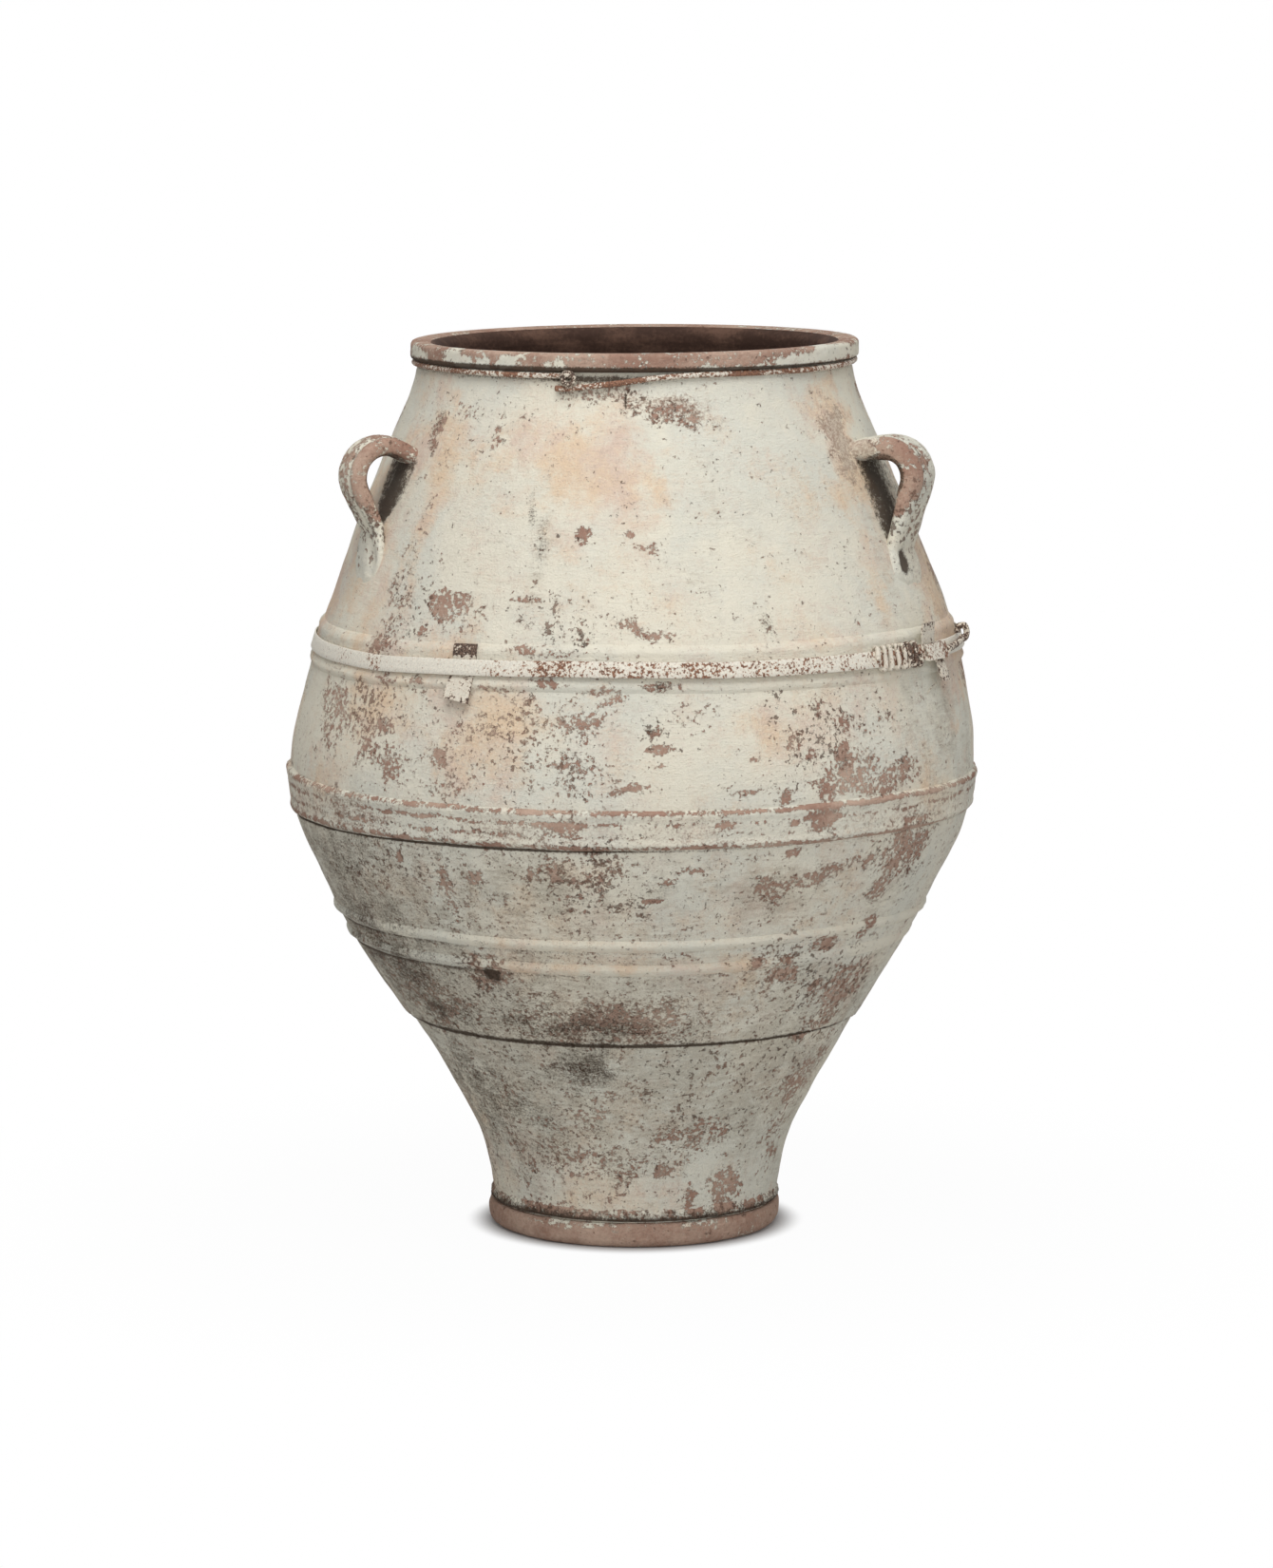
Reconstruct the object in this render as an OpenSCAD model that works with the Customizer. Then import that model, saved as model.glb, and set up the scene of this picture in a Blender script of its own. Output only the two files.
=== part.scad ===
// Greek pithos: a storage jar built in stages, with strap handles, clay bands and iron repairs.
// Millimetres. +Z is up, the front is towards -Y, and the origin is the centre of the base.
// Angles round the jar are in degrees from the front, positive towards +X.

/* [Foot] */
// How far the slab stands out past the foot of the wall
foot_out = 6; // [0:0.5:20]
// Thickness of the slab
foot_h = 27; // [20:1:40]
// Radius of the slab's lower edge
foot_edge_r = 12; // [4:1:16]
// Height of the roll of clay in the corner above the slab
fillet_h = 16; // [10:1:24]
// How far the roll stands out from the wall
fillet_out = 4.5; // [2:0.5:8]

/* [Wall] */
// Thickness of the wall
wall_t = 22; // [14:1:28]
// Outer radius of the wall where it stands on the slab
base_r = 152; // [140:1:156]
// Height of the lower stage, up to the step
lower_h = 210; // [180:5:240]
// Outer radius at the top of the lower stage
step_r = 243; // [225:1:260]
// How far the lower stage hangs inside a straight line, at one third and two thirds of its height
lower_hollow = [15.5, 11]; // [0:0.5:20]
// How far the next stage stands out over the step
step_out = 5; // [2:0.5:9]
// Height of the waist stage
waist_h = 102; // [80:1:130]
// Outer radius at the top of the waist stage
waist_r = 310.5; // [300:0.5:325]
// Height of the belly stage
belly_h = 141; // [110:1:170]
// Outer radius at the top of the belly stage
belly_r = 367; // [350:1:385]
// How far the belly stage swells past a straight line, at one third and two thirds of its height
belly_swell = [4, 7]; // [0:0.5:12]
// Height of the body stage
body_h = 162; // [130:1:200]
// How far the top of the body stage lies inside the widest circle
shoulder_in = 24; // [12:1:42]
// How far the body stage swells past a straight line, at one third and two thirds of its height
body_swell = [7.5, 5.5]; // [0:0.5:12]
// Height of the shoulder stage
shoulder_h = 299; // [260:1:330]
// Outer radius of the neck
neck_r = 231; // [215:1:245]
// How far the shoulder departs from a straight line, at one third and two thirds of its height
shoulder_swell = [1.5, -1.5]; // [-8:0.5:8]
// Height of the straight neck at the top of the shoulder
neck_h = 22; // [14:1:34]

/* [Lip] */
// Height of the lip
lip_h = 19; // [12:1:28]
// How far the lip stands out from the neck
lip_out = 8.5; // [6:0.5:14]
// Width of the level crest
lip_crest_w = 12; // [6:1:13]
// Radius of the lip's rounded edges
lip_edge_r = 3.5; // [2:0.5:5]

/* [Clay bands] */
// Distance between the two cordons at the waist
cordon_gap = 27; // [20:1:40]
// Height of one cordon
cordon_h = 12; // [8:1:16]
// How far a cordon stands out
cordon_out = 4.5; // [2:0.5:7]
// Height of the belly band
belly_band_h = 42; // [30:1:56]
// How far the belly band stands out
belly_band_out = 3; // [1.5:0.5:5]
// How far the edge ridges stand out from the belly band
belly_ridge_out = 1.5; // [0.5:0.5:3]
// Height of the shoulder band
shoulder_band_h = 48; // [40:1:60]
// How far the shoulder band stands out in its channel
channel_out = 2; // [1:0.5:4]
// How far the shoulder band's ridges stand out from the wall
shoulder_ridge_out = 3.5; // [2.5:0.5:6]

/* [Handles] */
// Angle of the left handle
left_handle_angle = -65; // [-80:1:-50]
// Angle of the right handle
right_handle_angle = 66.5; // [60:0.5:80]
// Angle of the back handle
back_handle_angle = 180; // [160:1:200]
// Depth of the handle's top below the lip
handle_drop = 75; // [60:1:100]
// Outer radius of the handle's loop
loop_r = 44; // [36:1:54]
// Distance of the loop's centre out from the wall
loop_stand = 19; // [12:1:26]
// Thickness of the handle
handle_t = 22; // [14:1:26]
// Width of the handle
handle_w = 46; // [34:1:60]
// Width of the handle's upper root
root_w = 76; // [60:1:100]
// Width of the handle's tail
tail_w = 60; // [46:1:80]
// Length of the tail that is smeared on the wall below the loop
tail_h = 118; // [100:1:140]
// Slope of the handle's lower leg
leg_lean = 25; // [15:1:32]
// Radius of the thumb mark in the tail
thumb_r = 9; // [6:1:12]
// Depth of the thumb mark
thumb_depth = 4; // [1:0.5:6]

/* [Neck wire] */
// Thickness of the neck wire
wire_d = 6.5; // [4:0.5:9]
// Angle where the wire ends at its eye
eye_angle = -16.5; // [-24:0.5:-10]
// Angle where the wire's other run starts to sag
sag_angle = 3; // [0:0.5:12]
// How far that run sags
sag_drop = 14; // [10:0.5:20]
// Angle that the wire's tail reaches past the eye
wire_tail_angle = 3.5; // [2:0.5:6]
// Radius of the eye at the middle of its wire
eye_r = 5; // [4:0.5:8]
// Thickness of the eye's wire
eye_d = 5.6; // [3:0.2:6]

/* [Shoulder strap] */
// Height of the iron strap
strap_h = 16; // [10:1:22]
// Thickness of the iron strap
strap_t = 1.5; // [1:0.25:2.5]
// How far the strap is lifted off the clay at its lashing
strap_lift = 5.6; // [5.4:0.2:8]
// Angle of the lashing's middle
lash_angle = 51; // [46:0.5:52]
// Thickness of the lashing wire
lash_d = 4.5; // [3:0.25:4.5]
// Number of turns of the lashing
lash_turns = 7; // [4:1:12]
// Distance from turn to turn
lash_pitch = 10.5; // [8:0.5:12]
// Thickness of the twisted wire ends
pigtail_d = 4; // [3:0.5:4.5]
// Radius of their eye at the middle of its wire
pigtail_eye_r = 4.8; // [4.5:0.1:7]

/* [Clip and strap ends] */
// Angle of the clip
clip_angle = -30.8; // [-40:0.2:-24]
// Width of the clip
clip_w = 28; // [20:1:40]
// Thickness of the clip
clip_t = 1.2; // [0.8:0.1:1.4]
// Reach of the clip above the strap
clip_up = 12; // [8:1:16]
// Reach of the clip below the strap
clip_down = 27; // [20:1:40]
// Angle of the strap's ends past the lashing
ends_angle = 62.4; // [62:0.2:68]
// Length of the folded strap end
fold_len = 46; // [30:1:50]
// Width of the strap end that is bent up
tab_w = 20; // [12:1:28]
// Height of the strap end that is bent up
tab_h = 24; // [14:1:34]
// Height of the torn end that hangs down
drop_h = 22; // [14:1:30]
// Thickness of the thin loose wire
thin_wire_d = 1.4; // [0.8:0.2:2]

/* [Hidden] */
$fn = 96;

// Gap left between a loose piece and what it lies on
seat_gap = 0.3;
// Overlap that a cut takes past a face
cut = 1;

// Heights of the joints between stages
step_z = foot_h + lower_h;
waist_z = step_z + waist_h;
belly_z = waist_z + belly_h;
shoulder_z = belly_z + body_h;
neck_z = shoulder_z + shoulder_h;
rim_z = neck_z + lip_h;

// Radius of the slab that the jar stands on
foot_r = base_r + foot_out;

// Outer radius at the top of the body stage
shoulder_r = belly_r - shoulder_in;

// Colours of the finishes
limewash = [0.90, 0.87, 0.79];
grey_wash = [0.80, 0.77, 0.70];
terracotta = [0.60, 0.45, 0.39];
dark_clay = [0.48, 0.36, 0.31];
painted_iron = [0.86, 0.83, 0.77];
rusty_iron = [0.45, 0.29, 0.22];

// The wall's outer line is a smooth curve through a few stations, each written as [height, radius]
function thirds(z0, r0, z1, r1, out) = [
    [z0, r0],
    [z0 + (z1 - z0) / 3, r0 + (r1 - r0) / 3 + out[0]],
    [z0 + 2 * (z1 - z0) / 3, r0 + 2 * (r1 - r0) / 3 + out[1]]
];
lower_stations = concat(
    thirds(foot_h, base_r, step_z, step_r, -lower_hollow),
    [[step_z, step_r]]
);
upper_stations = concat(
    [[step_z, step_r + step_out]],
    thirds(waist_z, waist_r, belly_z, belly_r, belly_swell),
    thirds(belly_z, belly_r, shoulder_z, shoulder_r, body_swell),
    thirds(shoulder_z, shoulder_r, neck_z, neck_r, shoulder_swell),
    [[neck_z - neck_h, neck_r + neck_h / 5], [neck_z, neck_r]]
);

function chord(s, i) = (s[i + 1][1] - s[i][1]) / (s[i + 1][0] - s[i][0]);
function tangent(s, i) =
    i == 0 ? chord(s, 0) :
    i == len(s) - 1 ? chord(s, i - 1) :
    let (a = s[i][0] - s[i - 1][0], b = s[i + 1][0] - s[i][0])
    (chord(s, i - 1) * b + chord(s, i) * a) / (a + b);
function span(s, z, i = 0) = i >= len(s) - 2 || z < s[i + 1][0] ? i : span(s, z, i + 1);
function curve(s, z) =
    let (i = span(s, z), h = s[i + 1][0] - s[i][0], t = (z - s[i][0]) / h)
    (2 * pow(t, 3) - 3 * pow(t, 2) + 1) * s[i][1]
    + (pow(t, 3) - 2 * pow(t, 2) + t) * h * tangent(s, i)
    + (3 * pow(t, 2) - 2 * pow(t, 3)) * s[i + 1][1]
    + (pow(t, 3) - pow(t, 2)) * h * tangent(s, i + 1);
function stations(z) = z < step_z ? lower_stations : upper_stations;
function wall_r(z) = curve(stations(z), z);
function slope_at(s, z) = (curve(s, z + 1) - curve(s, z - 1)) / 2;

// Outer and inner lines of one stage, as [radius, height]
function outer_line(s, z0, z1, steps) =
    [for (i = [0:steps]) let (z = z0 + (z1 - z0) * i / steps) [curve(s, z), z]];
function inner_line(s, z0, z1, steps) =
    [for (i = [steps:-1:0]) let (z = z0 + (z1 - z0) * i / steps)
        [curve(s, z) - wall_t * sqrt(1 + pow(slope_at(s, z), 2)), z]];
function arc(centre, r, a0, a1, steps) =
    [for (i = [0:steps]) let (a = a0 + (a1 - a0) * i / steps)
        centre + r * [cos(a), sin(a)]];

lower_steps = 10;
waist_steps = 5;
belly_steps = 7;
body_steps = 8;
shoulder_steps = 16;
inner_steps = 5;

module stage(s, z0, z1, steps) {
    rotate_extrude()
        polygon(concat(outer_line(s, z0, z1, steps), inner_line(s, z0, z1, inner_steps)));
}

// Half section of the whole jar's outer line, which trims what is pressed on to it
module outline_section() {
    polygon(concat(
        [[0, foot_h]],
        outer_line(lower_stations, foot_h, step_z, lower_steps),
        outer_line(upper_stations, step_z, waist_z, waist_steps),
        outer_line(upper_stations, waist_z, belly_z, belly_steps),
        outer_line(upper_stations, belly_z, shoulder_z, body_steps),
        outer_line(upper_stations, shoulder_z, neck_z, shoulder_steps),
        [[0, neck_z]]
    ));
}

// A strip of clay pressed on to the wall: its face is a line of [height, distance out from the wall]
edge_out = 0.8;
module pressed_strip(line) {
    last = len(line) - 1;
    rotate_extrude() difference() {
        polygon(concat(
            [[0, line[0][0]]],
            [for (p = line) [wall_r(p[0]) + p[1], p[0]]],
            [[0, line[last][0]]]
        ));
        outline_section();
    }
}

// A place on the jar from its angle, radius and height
function place(angle, r, z) = [r * sin(angle), -r * cos(angle), z];

module facing(angle) {
    rotate([0, 0, angle - 90]) children();
}

module foot_slab() {
    color(terracotta) rotate_extrude() polygon(concat(
        [[0, 0]],
        arc([foot_r - foot_edge_r, foot_edge_r], foot_edge_r, -90, 0, 6),
        [[foot_r, foot_h - 2], [foot_r - 2, foot_h], [0, foot_h]]
    ));
}

module foot_fillet() {
    top_z = foot_h + fillet_h;
    color(dark_clay) pressed_strip([
        [foot_h, fillet_out - 1],
        [foot_h + fillet_h * 0.4, fillet_out],
        [top_z - 2, edge_out + 0.6],
        [top_z, edge_out]
    ]);
}

module lower_wall() {
    color(grey_wash) stage(lower_stations, foot_h, step_z, lower_steps);
}

module waist_wall() {
    color(grey_wash) stage(upper_stations, step_z, waist_z, waist_steps);
}

module belly_wall() {
    color(grey_wash) stage(upper_stations, waist_z, belly_z, belly_steps);
}

module body_wall() {
    color(limewash) stage(upper_stations, belly_z, shoulder_z, body_steps);
}

module shoulder_wall() {
    color(limewash) stage(upper_stations, shoulder_z, neck_z, shoulder_steps);
}

// The lip has a level crest, so that a lid can lie on it
crest_r = neck_r + lip_out - lip_edge_r;
module rim_lip() {
    mouth_r = neck_r - wall_t * sqrt(1 + pow(slope_at(upper_stations, neck_z), 2));
    color(terracotta) rotate_extrude() polygon(concat(
        [[mouth_r, neck_z], [crest_r, neck_z]],
        arc([crest_r, neck_z + lip_edge_r], lip_edge_r, -60, 0, 3),
        arc([crest_r, rim_z - lip_edge_r], lip_edge_r, 0, 90, 4),
        [[crest_r - lip_crest_w, rim_z], [mouth_r, rim_z - lip_edge_r * 2]]
    ));
}

// One cordon is a strip of clay with a rounded face
module cordon(z) {
    pressed_strip([
        [z - cordon_h / 2, edge_out],
        [z - cordon_h / 6, cordon_out],
        [z + cordon_h / 6, cordon_out],
        [z + cordon_h / 2, edge_out]
    ]);
}

module lower_cordon() {
    color(grey_wash) cordon(waist_z - cordon_gap / 2);
}

module upper_cordon() {
    color(grey_wash) cordon(waist_z + cordon_gap / 2);
}

// One edge ridge of the belly band is this high
ridge_h = 6;
module belly_band() {
    low = belly_z - belly_band_h / 2;
    high = belly_z + belly_band_h / 2;
    face = belly_band_out;
    ridge = belly_band_out + belly_ridge_out;
    color(limewash) pressed_strip([
        [low, edge_out],
        [low + 2, ridge],
        [low + ridge_h, ridge],
        [low + ridge_h + 2, face],
        [belly_z, face],
        [high - ridge_h - 2, face],
        [high - ridge_h, ridge],
        [high - 2, ridge],
        [high, edge_out]
    ]);
}

// The shoulder band's channel holds the strap with room above and below it
channel_h = strap_h + 5;
channel_low = shoulder_z - channel_h / 2;
channel_high = shoulder_z + channel_h / 2;
function channel_r(z) = wall_r(shoulder_z) + channel_out + strap_slope * (z - shoulder_z);
strap_slope = (wall_r(channel_high) - wall_r(channel_low)) / channel_h;
band_low = shoulder_z - shoulder_band_h / 2;
band_high = shoulder_z + shoulder_band_h / 2;
ridge_low = (band_low + channel_low) / 2;
ridge_high = (band_high + channel_high) / 2;
module shoulder_band() {
    color(limewash) pressed_strip([
        [band_low, edge_out],
        [ridge_low, shoulder_ridge_out],
        [channel_low, channel_r(channel_low) - wall_r(channel_low)],
        [channel_high, channel_r(channel_high) - wall_r(channel_high)],
        [ridge_high, shoulder_ridge_out],
        [band_high, edge_out]
    ]);
}

// A handle is a flat strap of clay: a round loop at the top, a straight leg and a smeared tail
loop_z = neck_z - handle_drop - loop_r;
loop_centre = [wall_r(loop_z) + loop_stand, loop_z];
hole_r = loop_r - handle_t;
hole_centre = loop_centre - [2, 2];
leg_end = loop_centre + (loop_r * [cos(leg_lean), -sin(leg_lean)])
    - 52 * [sin(leg_lean), cos(leg_lean)];
tail_z = loop_z - tail_h;
module handle_side() {
    root_z = loop_z + loop_r;
    difference() {
        polygon(concat(
            [[neck_r, tail_z], [neck_r, root_z + 3], [wall_r(root_z) + 4, root_z + 2]],
            arc(loop_centre, loop_r, 90, -leg_lean, 14),
            [leg_end, [wall_r(tail_z + 28) + 7, tail_z + 28], [wall_r(tail_z), tail_z]]
        ));
        finger_gap_side();
    }
}

// The finger gap is round at the top and closes to a point where the leg meets the wall
module finger_gap_side() {
    point = [wall_r(loop_z - 52), loop_z - 52];
    polygon(concat(
        [[neck_r - cut, point[1]], [neck_r - cut, hole_centre[1] + hole_r]],
        arc(hole_centre, hole_r, 90, -leg_lean + 5, 10),
        [point]
    ));
}

// The upper root spreads towards the wall, seen from above
module root_plan() {
    near = wall_r(loop_z + loop_r) - 8;
    far = loop_centre[0] + loop_r + cut;
    polygon([
        [near - 30, -root_w / 2], [near + 6, -root_w / 2], [loop_centre[0] - 2, -handle_w / 2],
        [far, -handle_w / 2], [far, handle_w / 2],
        [loop_centre[0] - 2, handle_w / 2], [near + 6, root_w / 2], [near - 30, root_w / 2]
    ]);
}

// The leg spreads into the tail, seen from outside, as [across, height]
module leg_front() {
    wide_z = tail_z + 40;
    polygon([
        [-handle_w / 2, loop_z], [-handle_w / 2, loop_z - 24], [-tail_w / 2, wide_z],
        [-tail_w / 4, tail_z], [tail_w / 4, tail_z], [tail_w / 2, wide_z],
        [handle_w / 2, loop_z - 24], [handle_w / 2, loop_z]
    ]);
}

module handle(angle) {
    thumb_z = tail_z + 34;
    facing(angle) difference() {
        intersection() {
            rotate([90, 0, 0]) linear_extrude(root_w, center = true) handle_side();
            union() {
                translate([0, 0, loop_z]) linear_extrude(loop_r + 10) root_plan();
                rotate([90, 0, 90]) linear_extrude(loop_centre[0] + loop_r + cut) leg_front();
            }
        }
        translate([wall_r(thumb_z) + 7 + thumb_r - thumb_depth, 0, thumb_z]) sphere(thumb_r);
        rotate_extrude() outline_section();
    }
}

module handle_left() {
    color(terracotta) handle(left_handle_angle);
}

module handle_right() {
    color(terracotta) handle(right_handle_angle);
}

module handle_back() {
    color(terracotta) handle(back_handle_angle);
}

// A tube follows points, and each ring is turned to the path without twisting round it
function unit(v) = v / norm(v);
function heading(p, i) =
    i == 0 ? unit(p[1] - p[0]) :
    i == len(p) - 1 ? unit(p[i] - p[i - 1]) :
    unit(unit(p[i + 1] - p[i]) + unit(p[i] - p[i - 1]));
function square_to(u, t) = unit(u - (u * t) * t);
function across(p, first) = [
    for (i = 0, u = square_to(first, heading(p, 0)); i < len(p);
        i = i + 1, u = i < len(p) ? square_to(u, heading(p, i)) : u) u
];
module tube(points, d, sides, first) {
    n = len(points);
    lines = across(points, first);
    rings = [for (i = [0:n - 1]) let (u = lines[i], v = cross(heading(points, i), u))
        for (k = [0:sides - 1]) let (a = 360 * (k + 0.5) / sides)
            points[i] + d / 2 * (cos(a) * u + sin(a) * v)];
    walls = [for (i = [0:n - 2], k = [0:sides - 1]) let (m = (k + 1) % sides)
        each [
            [i * sides + k, i * sides + m, (i + 1) * sides + m],
            [i * sides + k, (i + 1) * sides + m, (i + 1) * sides + k]
        ]];
    ends = [for (k = [1:sides - 2]) each [
        [0, k + 1, k],
        [(n - 1) * sides, (n - 1) * sides + k, (n - 1) * sides + k + 1]
    ]];
    polyhedron(rings, concat(walls, ends));
}
wire_sides = 8;

// Straight rods from point to point, with round joints
module rods(points, d) {
    for (i = [0:len(points) - 2]) let (v = points[i + 1] - points[i]) {
        translate(points[i]) rotate([0, acos(v[2] / norm(v)), atan2(v[1], v[0])])
            cylinder(d = d, h = norm(v));
        if (i > 0) translate(points[i]) sphere(d = d);
    }
}

// The neck wire lies under the lip, from the eye round the back to where it sags
wire_z = neck_z - wire_d / 2 - seat_gap;
wire_ring_r = wall_r(wire_z) + wire_d / 2 + seat_gap;
wire_end_angle = eye_angle - 2;
module neck_wire() {
    color(painted_iron) facing(sag_angle)
        rotate_extrude(angle = 360 - (sag_angle - wire_end_angle))
            translate([wire_ring_r, wire_z]) circle(d = wire_d);
}

sag_steps = 10;
function eased(t) = t * t * (3 - 2 * t);
module neck_wire_tail() {
    end_angle = eye_angle - wire_tail_angle;
    points = [for (i = [0:sag_steps]) let (
        t = i / sag_steps,
        z = wire_z - sag_drop * eased(min(1, 1.2 * t)),
        r = max(wire_ring_r, wall_r(z) + wire_d / 2 + seat_gap)
    ) place(sag_angle + (end_angle - sag_angle) * t, r, z)];
    color(painted_iron) tube(points, wire_d, wire_sides, [0, 0, 1]);
}

// The eye is curled in front of the sagging run, and a link joins it to the wire's end
module neck_wire_eye() {
    eye_z = wire_z - eye_r - 1;
    eye_out = wire_ring_r + (wire_d + eye_d) / 2 + 2 * seat_gap;
    color(rusty_iron) union() {
        facing(eye_angle) translate([eye_out, 0, eye_z]) rotate([0, 90, 0])
            rotate_extrude() translate([eye_r, 0]) circle(d = eye_d);
        rods([
            place(wire_end_angle + 0.1, wire_ring_r, wire_z),
            place(eye_angle, eye_out, eye_z + eye_r)
        ], eye_d);
    }
}

// The strap is a true hoop, a little larger than its channel and pushed out towards the lashing
hoop_shift = strap_lift / 2;
hoop_gap = seat_gap + hoop_shift;
hoop_centre = place(lash_angle, hoop_shift, 0);
function hoop_r(z) = channel_r(z) + hoop_gap;
function on_hoop(angle, out, z) = hoop_centre + place(angle, hoop_r(z) + out, z);
strap_low = shoulder_z - strap_h / 2;
strap_high = shoulder_z + strap_h / 2;
module strap_section(out = 0) {
    polygon([
        [hoop_r(strap_low) + out, strap_low],
        [hoop_r(strap_low) + out + strap_t, strap_low],
        [hoop_r(strap_high) + out + strap_t, strap_high],
        [hoop_r(strap_high) + out, strap_high]
    ]);
}
module strap_hoop() {
    color(painted_iron) translate(hoop_centre) rotate_extrude() strap_section();
}

// Turns a section by an angle across a given width at its radius
module wide_piece(angle, width, r) {
    sweep = width / r * 180 / PI;
    facing(angle - sweep / 2) rotate_extrude(angle = sweep) children();
}

// The clip passes behind the strap and over both ridges of the band
module strap_clip() {
    top_z = max(strap_high + clip_up, band_high + 1);
    low_z = strap_low - clip_down;
    over = shoulder_ridge_out + seat_gap;
    behind = channel_out + seat_gap;
    line = [
        [wall_r(top_z) + over, top_z],
        [wall_r(ridge_high) + over, ridge_high + 1],
        [channel_r(channel_high) - channel_out + behind + 0.3, channel_high - 2],
        [channel_r(shoulder_z) - channel_out + behind, shoulder_z],
        [channel_r(channel_low) - channel_out + behind + 0.3, channel_low + 2],
        [wall_r(ridge_low) + over, ridge_low],
        [wall_r(band_low) + over + 1, band_low],
        [wall_r(low_z) + over + 2, low_z]
    ];
    back = [for (i = [len(line) - 1:-1:0]) line[i]];
    color(rusty_iron) wide_piece(clip_angle, clip_w, wall_r(shoulder_z))
        polygon(concat([for (p = line) p + [clip_t, 0]], back));
}

// One loop of the lashing goes round the strap's section as a rounded oblong
lash_out = strap_t / 2 + lash_d / 2 + 1.1;
lash_up = strap_h / 2 + lash_d / 2 + 0.8;
loop_rings = 24;
lash_sides = 6;
function rounded(v, power) = sign(v) * pow(abs(v), power);
function lash_point(turn) = let (
    t = 360 * turn,
    sweep = (turn - lash_turns / 2) * lash_pitch,
    angle = lash_angle + sweep / hoop_r(shoulder_z) * 180 / PI,
    up = lash_up * rounded(sin(t), 0.6),
    out = lash_out * rounded(cos(t), 0.5)
) on_hoop(angle, strap_t / 2 + out, shoulder_z + up);
lash_turn_points = [for (i = [0:lash_turns * loop_rings]) lash_point(i / loop_rings)];
lash_first = lash_turn_points[0];
lash_last = lash_turn_points[len(lash_turn_points) - 1];
lash_points = concat(
    [lash_first + lash_d * unit(lash_first - lash_turn_points[1])],
    lash_turn_points,
    [lash_last + lash_d * unit(lash_last - lash_turn_points[len(lash_turn_points) - 2])]
);
lash_gap = min([for (i = [0:len(lash_points) - 1], j = [i + 12:1:len(lash_points) - 1])
    norm(lash_points[i] - lash_points[j])]) - lash_d;
echo(lashing_least_gap_mm = lash_gap);
module strap_lashing() {
    color(rusty_iron) tube(lash_points, lash_d, lash_sides, place(lash_angle + 90, 1, 0));
}

// The strap's folded end lies over the hoop just past the lashing
fold_gap = 3;
bend_r = fold_gap / 2 + strap_t;
bend_out = strap_t + seat_gap + bend_r;
// Length by which the bend runs into the two plates that it joins
bend_weld = 0.2;
bend_angle = ends_angle + fold_len / 2 / hoop_r(shoulder_z) * 180 / PI;
module strap_end_loop() {
    color(painted_iron) translate(hoop_centre) union() {
        wide_piece(ends_angle, fold_len, hoop_r(shoulder_z))
            strap_section(strap_t + seat_gap);
        wide_piece(ends_angle, fold_len, hoop_r(shoulder_z))
            strap_section(2 * strap_t + seat_gap + fold_gap);
        facing(bend_angle) translate([hoop_r(strap_low) + bend_out, 0, strap_low])
            rotate([0, atan(strap_slope), 0]) difference() {
                cylinder(r = bend_r, h = strap_h);
                translate([0, 0, -cut]) cylinder(r = bend_r - strap_t, h = strap_h + 2 * cut);
                translate([-2 * bend_r, -4 * bend_r - bend_weld, -cut])
                    cube([4 * bend_r, 4 * bend_r, strap_h + 2 * cut]);
            }
    }
}

// The bent-up tab and the torn drop stand on the folded end's edges and lean out
module leaning_strip(angle, width, z0, z1, lean) {
    r0 = hoop_r(z0) + strap_t + seat_gap;
    translate(hoop_centre) wide_piece(angle, width, hoop_r(shoulder_z)) polygon([
        [r0, z0], [r0 + strap_t, z0], [r0 + strap_t + lean, z1], [r0 + lean, z1]
    ]);
}
module strap_tab() {
    color(rusty_iron) leaning_strip(ends_angle - 1.4, tab_w, strap_high + seat_gap,
        strap_high + tab_h, 7);
}
module strap_drop() {
    color(rusty_iron) leaning_strip(ends_angle + 1, tab_w, strap_low - seat_gap,
        strap_low - drop_h, 5);
}

// The twisted ends start at the fold's bend, rise beyond it and curl into a small eye
curl_rings = 10;
module lashing_pigtail() {
    start_angle = bend_angle + (bend_r + seat_gap) / hoop_r(shoulder_z) * 180 / PI;
    centre = on_hoop(start_angle + 11.3, bend_out + 4, shoulder_z + 7.5);
    entry = centre - [0, 0, pigtail_eye_r];
    points = concat(
        [
            on_hoop(start_angle, bend_out, shoulder_z - 1),
            on_hoop(start_angle + 4, bend_out + 1, shoulder_z + 1),
            on_hoop(start_angle + 8, bend_out + 2, entry[2] - 0.8),
            entry - [4, 5, 0.5]
        ],
        [for (i = [0:curl_rings]) let (a = 268 + 280 * i / curl_rings)
            centre + pigtail_eye_r * [cos(a), 0, sin(a)]]
    );
    color(rusty_iron) tube(points, pigtail_d, wire_sides, [0, 0, 1]);
}

// The loose wire hangs from the torn end and comes to rest on the wall
drop_wire_steps = 6;
module drop_wire() {
    start_z = strap_low - drop_h;
    points = [for (i = [0:drop_wire_steps]) let (
        t = i / drop_wire_steps,
        z = start_z - 13 * t,
        out = thin_wire_d / 2 + seat_gap + 6 * pow(1 - t, 2)
    ) place(ends_angle + 3 - 9 * t, wall_r(z) + out, z)];
    color(rusty_iron) tube(points, thin_wire_d, wire_sides, [0, 0, 1]);
}

foot_slab();
foot_fillet();
lower_wall();
waist_wall();
belly_wall();
body_wall();
shoulder_wall();
rim_lip();
lower_cordon();
upper_cordon();
belly_band();
shoulder_band();
handle_left();
handle_right();
handle_back();
neck_wire();
neck_wire_tail();
neck_wire_eye();
strap_hoop();
strap_clip();
strap_lashing();
strap_end_loop();
strap_tab();
strap_drop();
lashing_pigtail();
drop_wire();
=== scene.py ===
import math

import bmesh
import bpy
import numpy as np
from mathutils import Matrix, Vector


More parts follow.
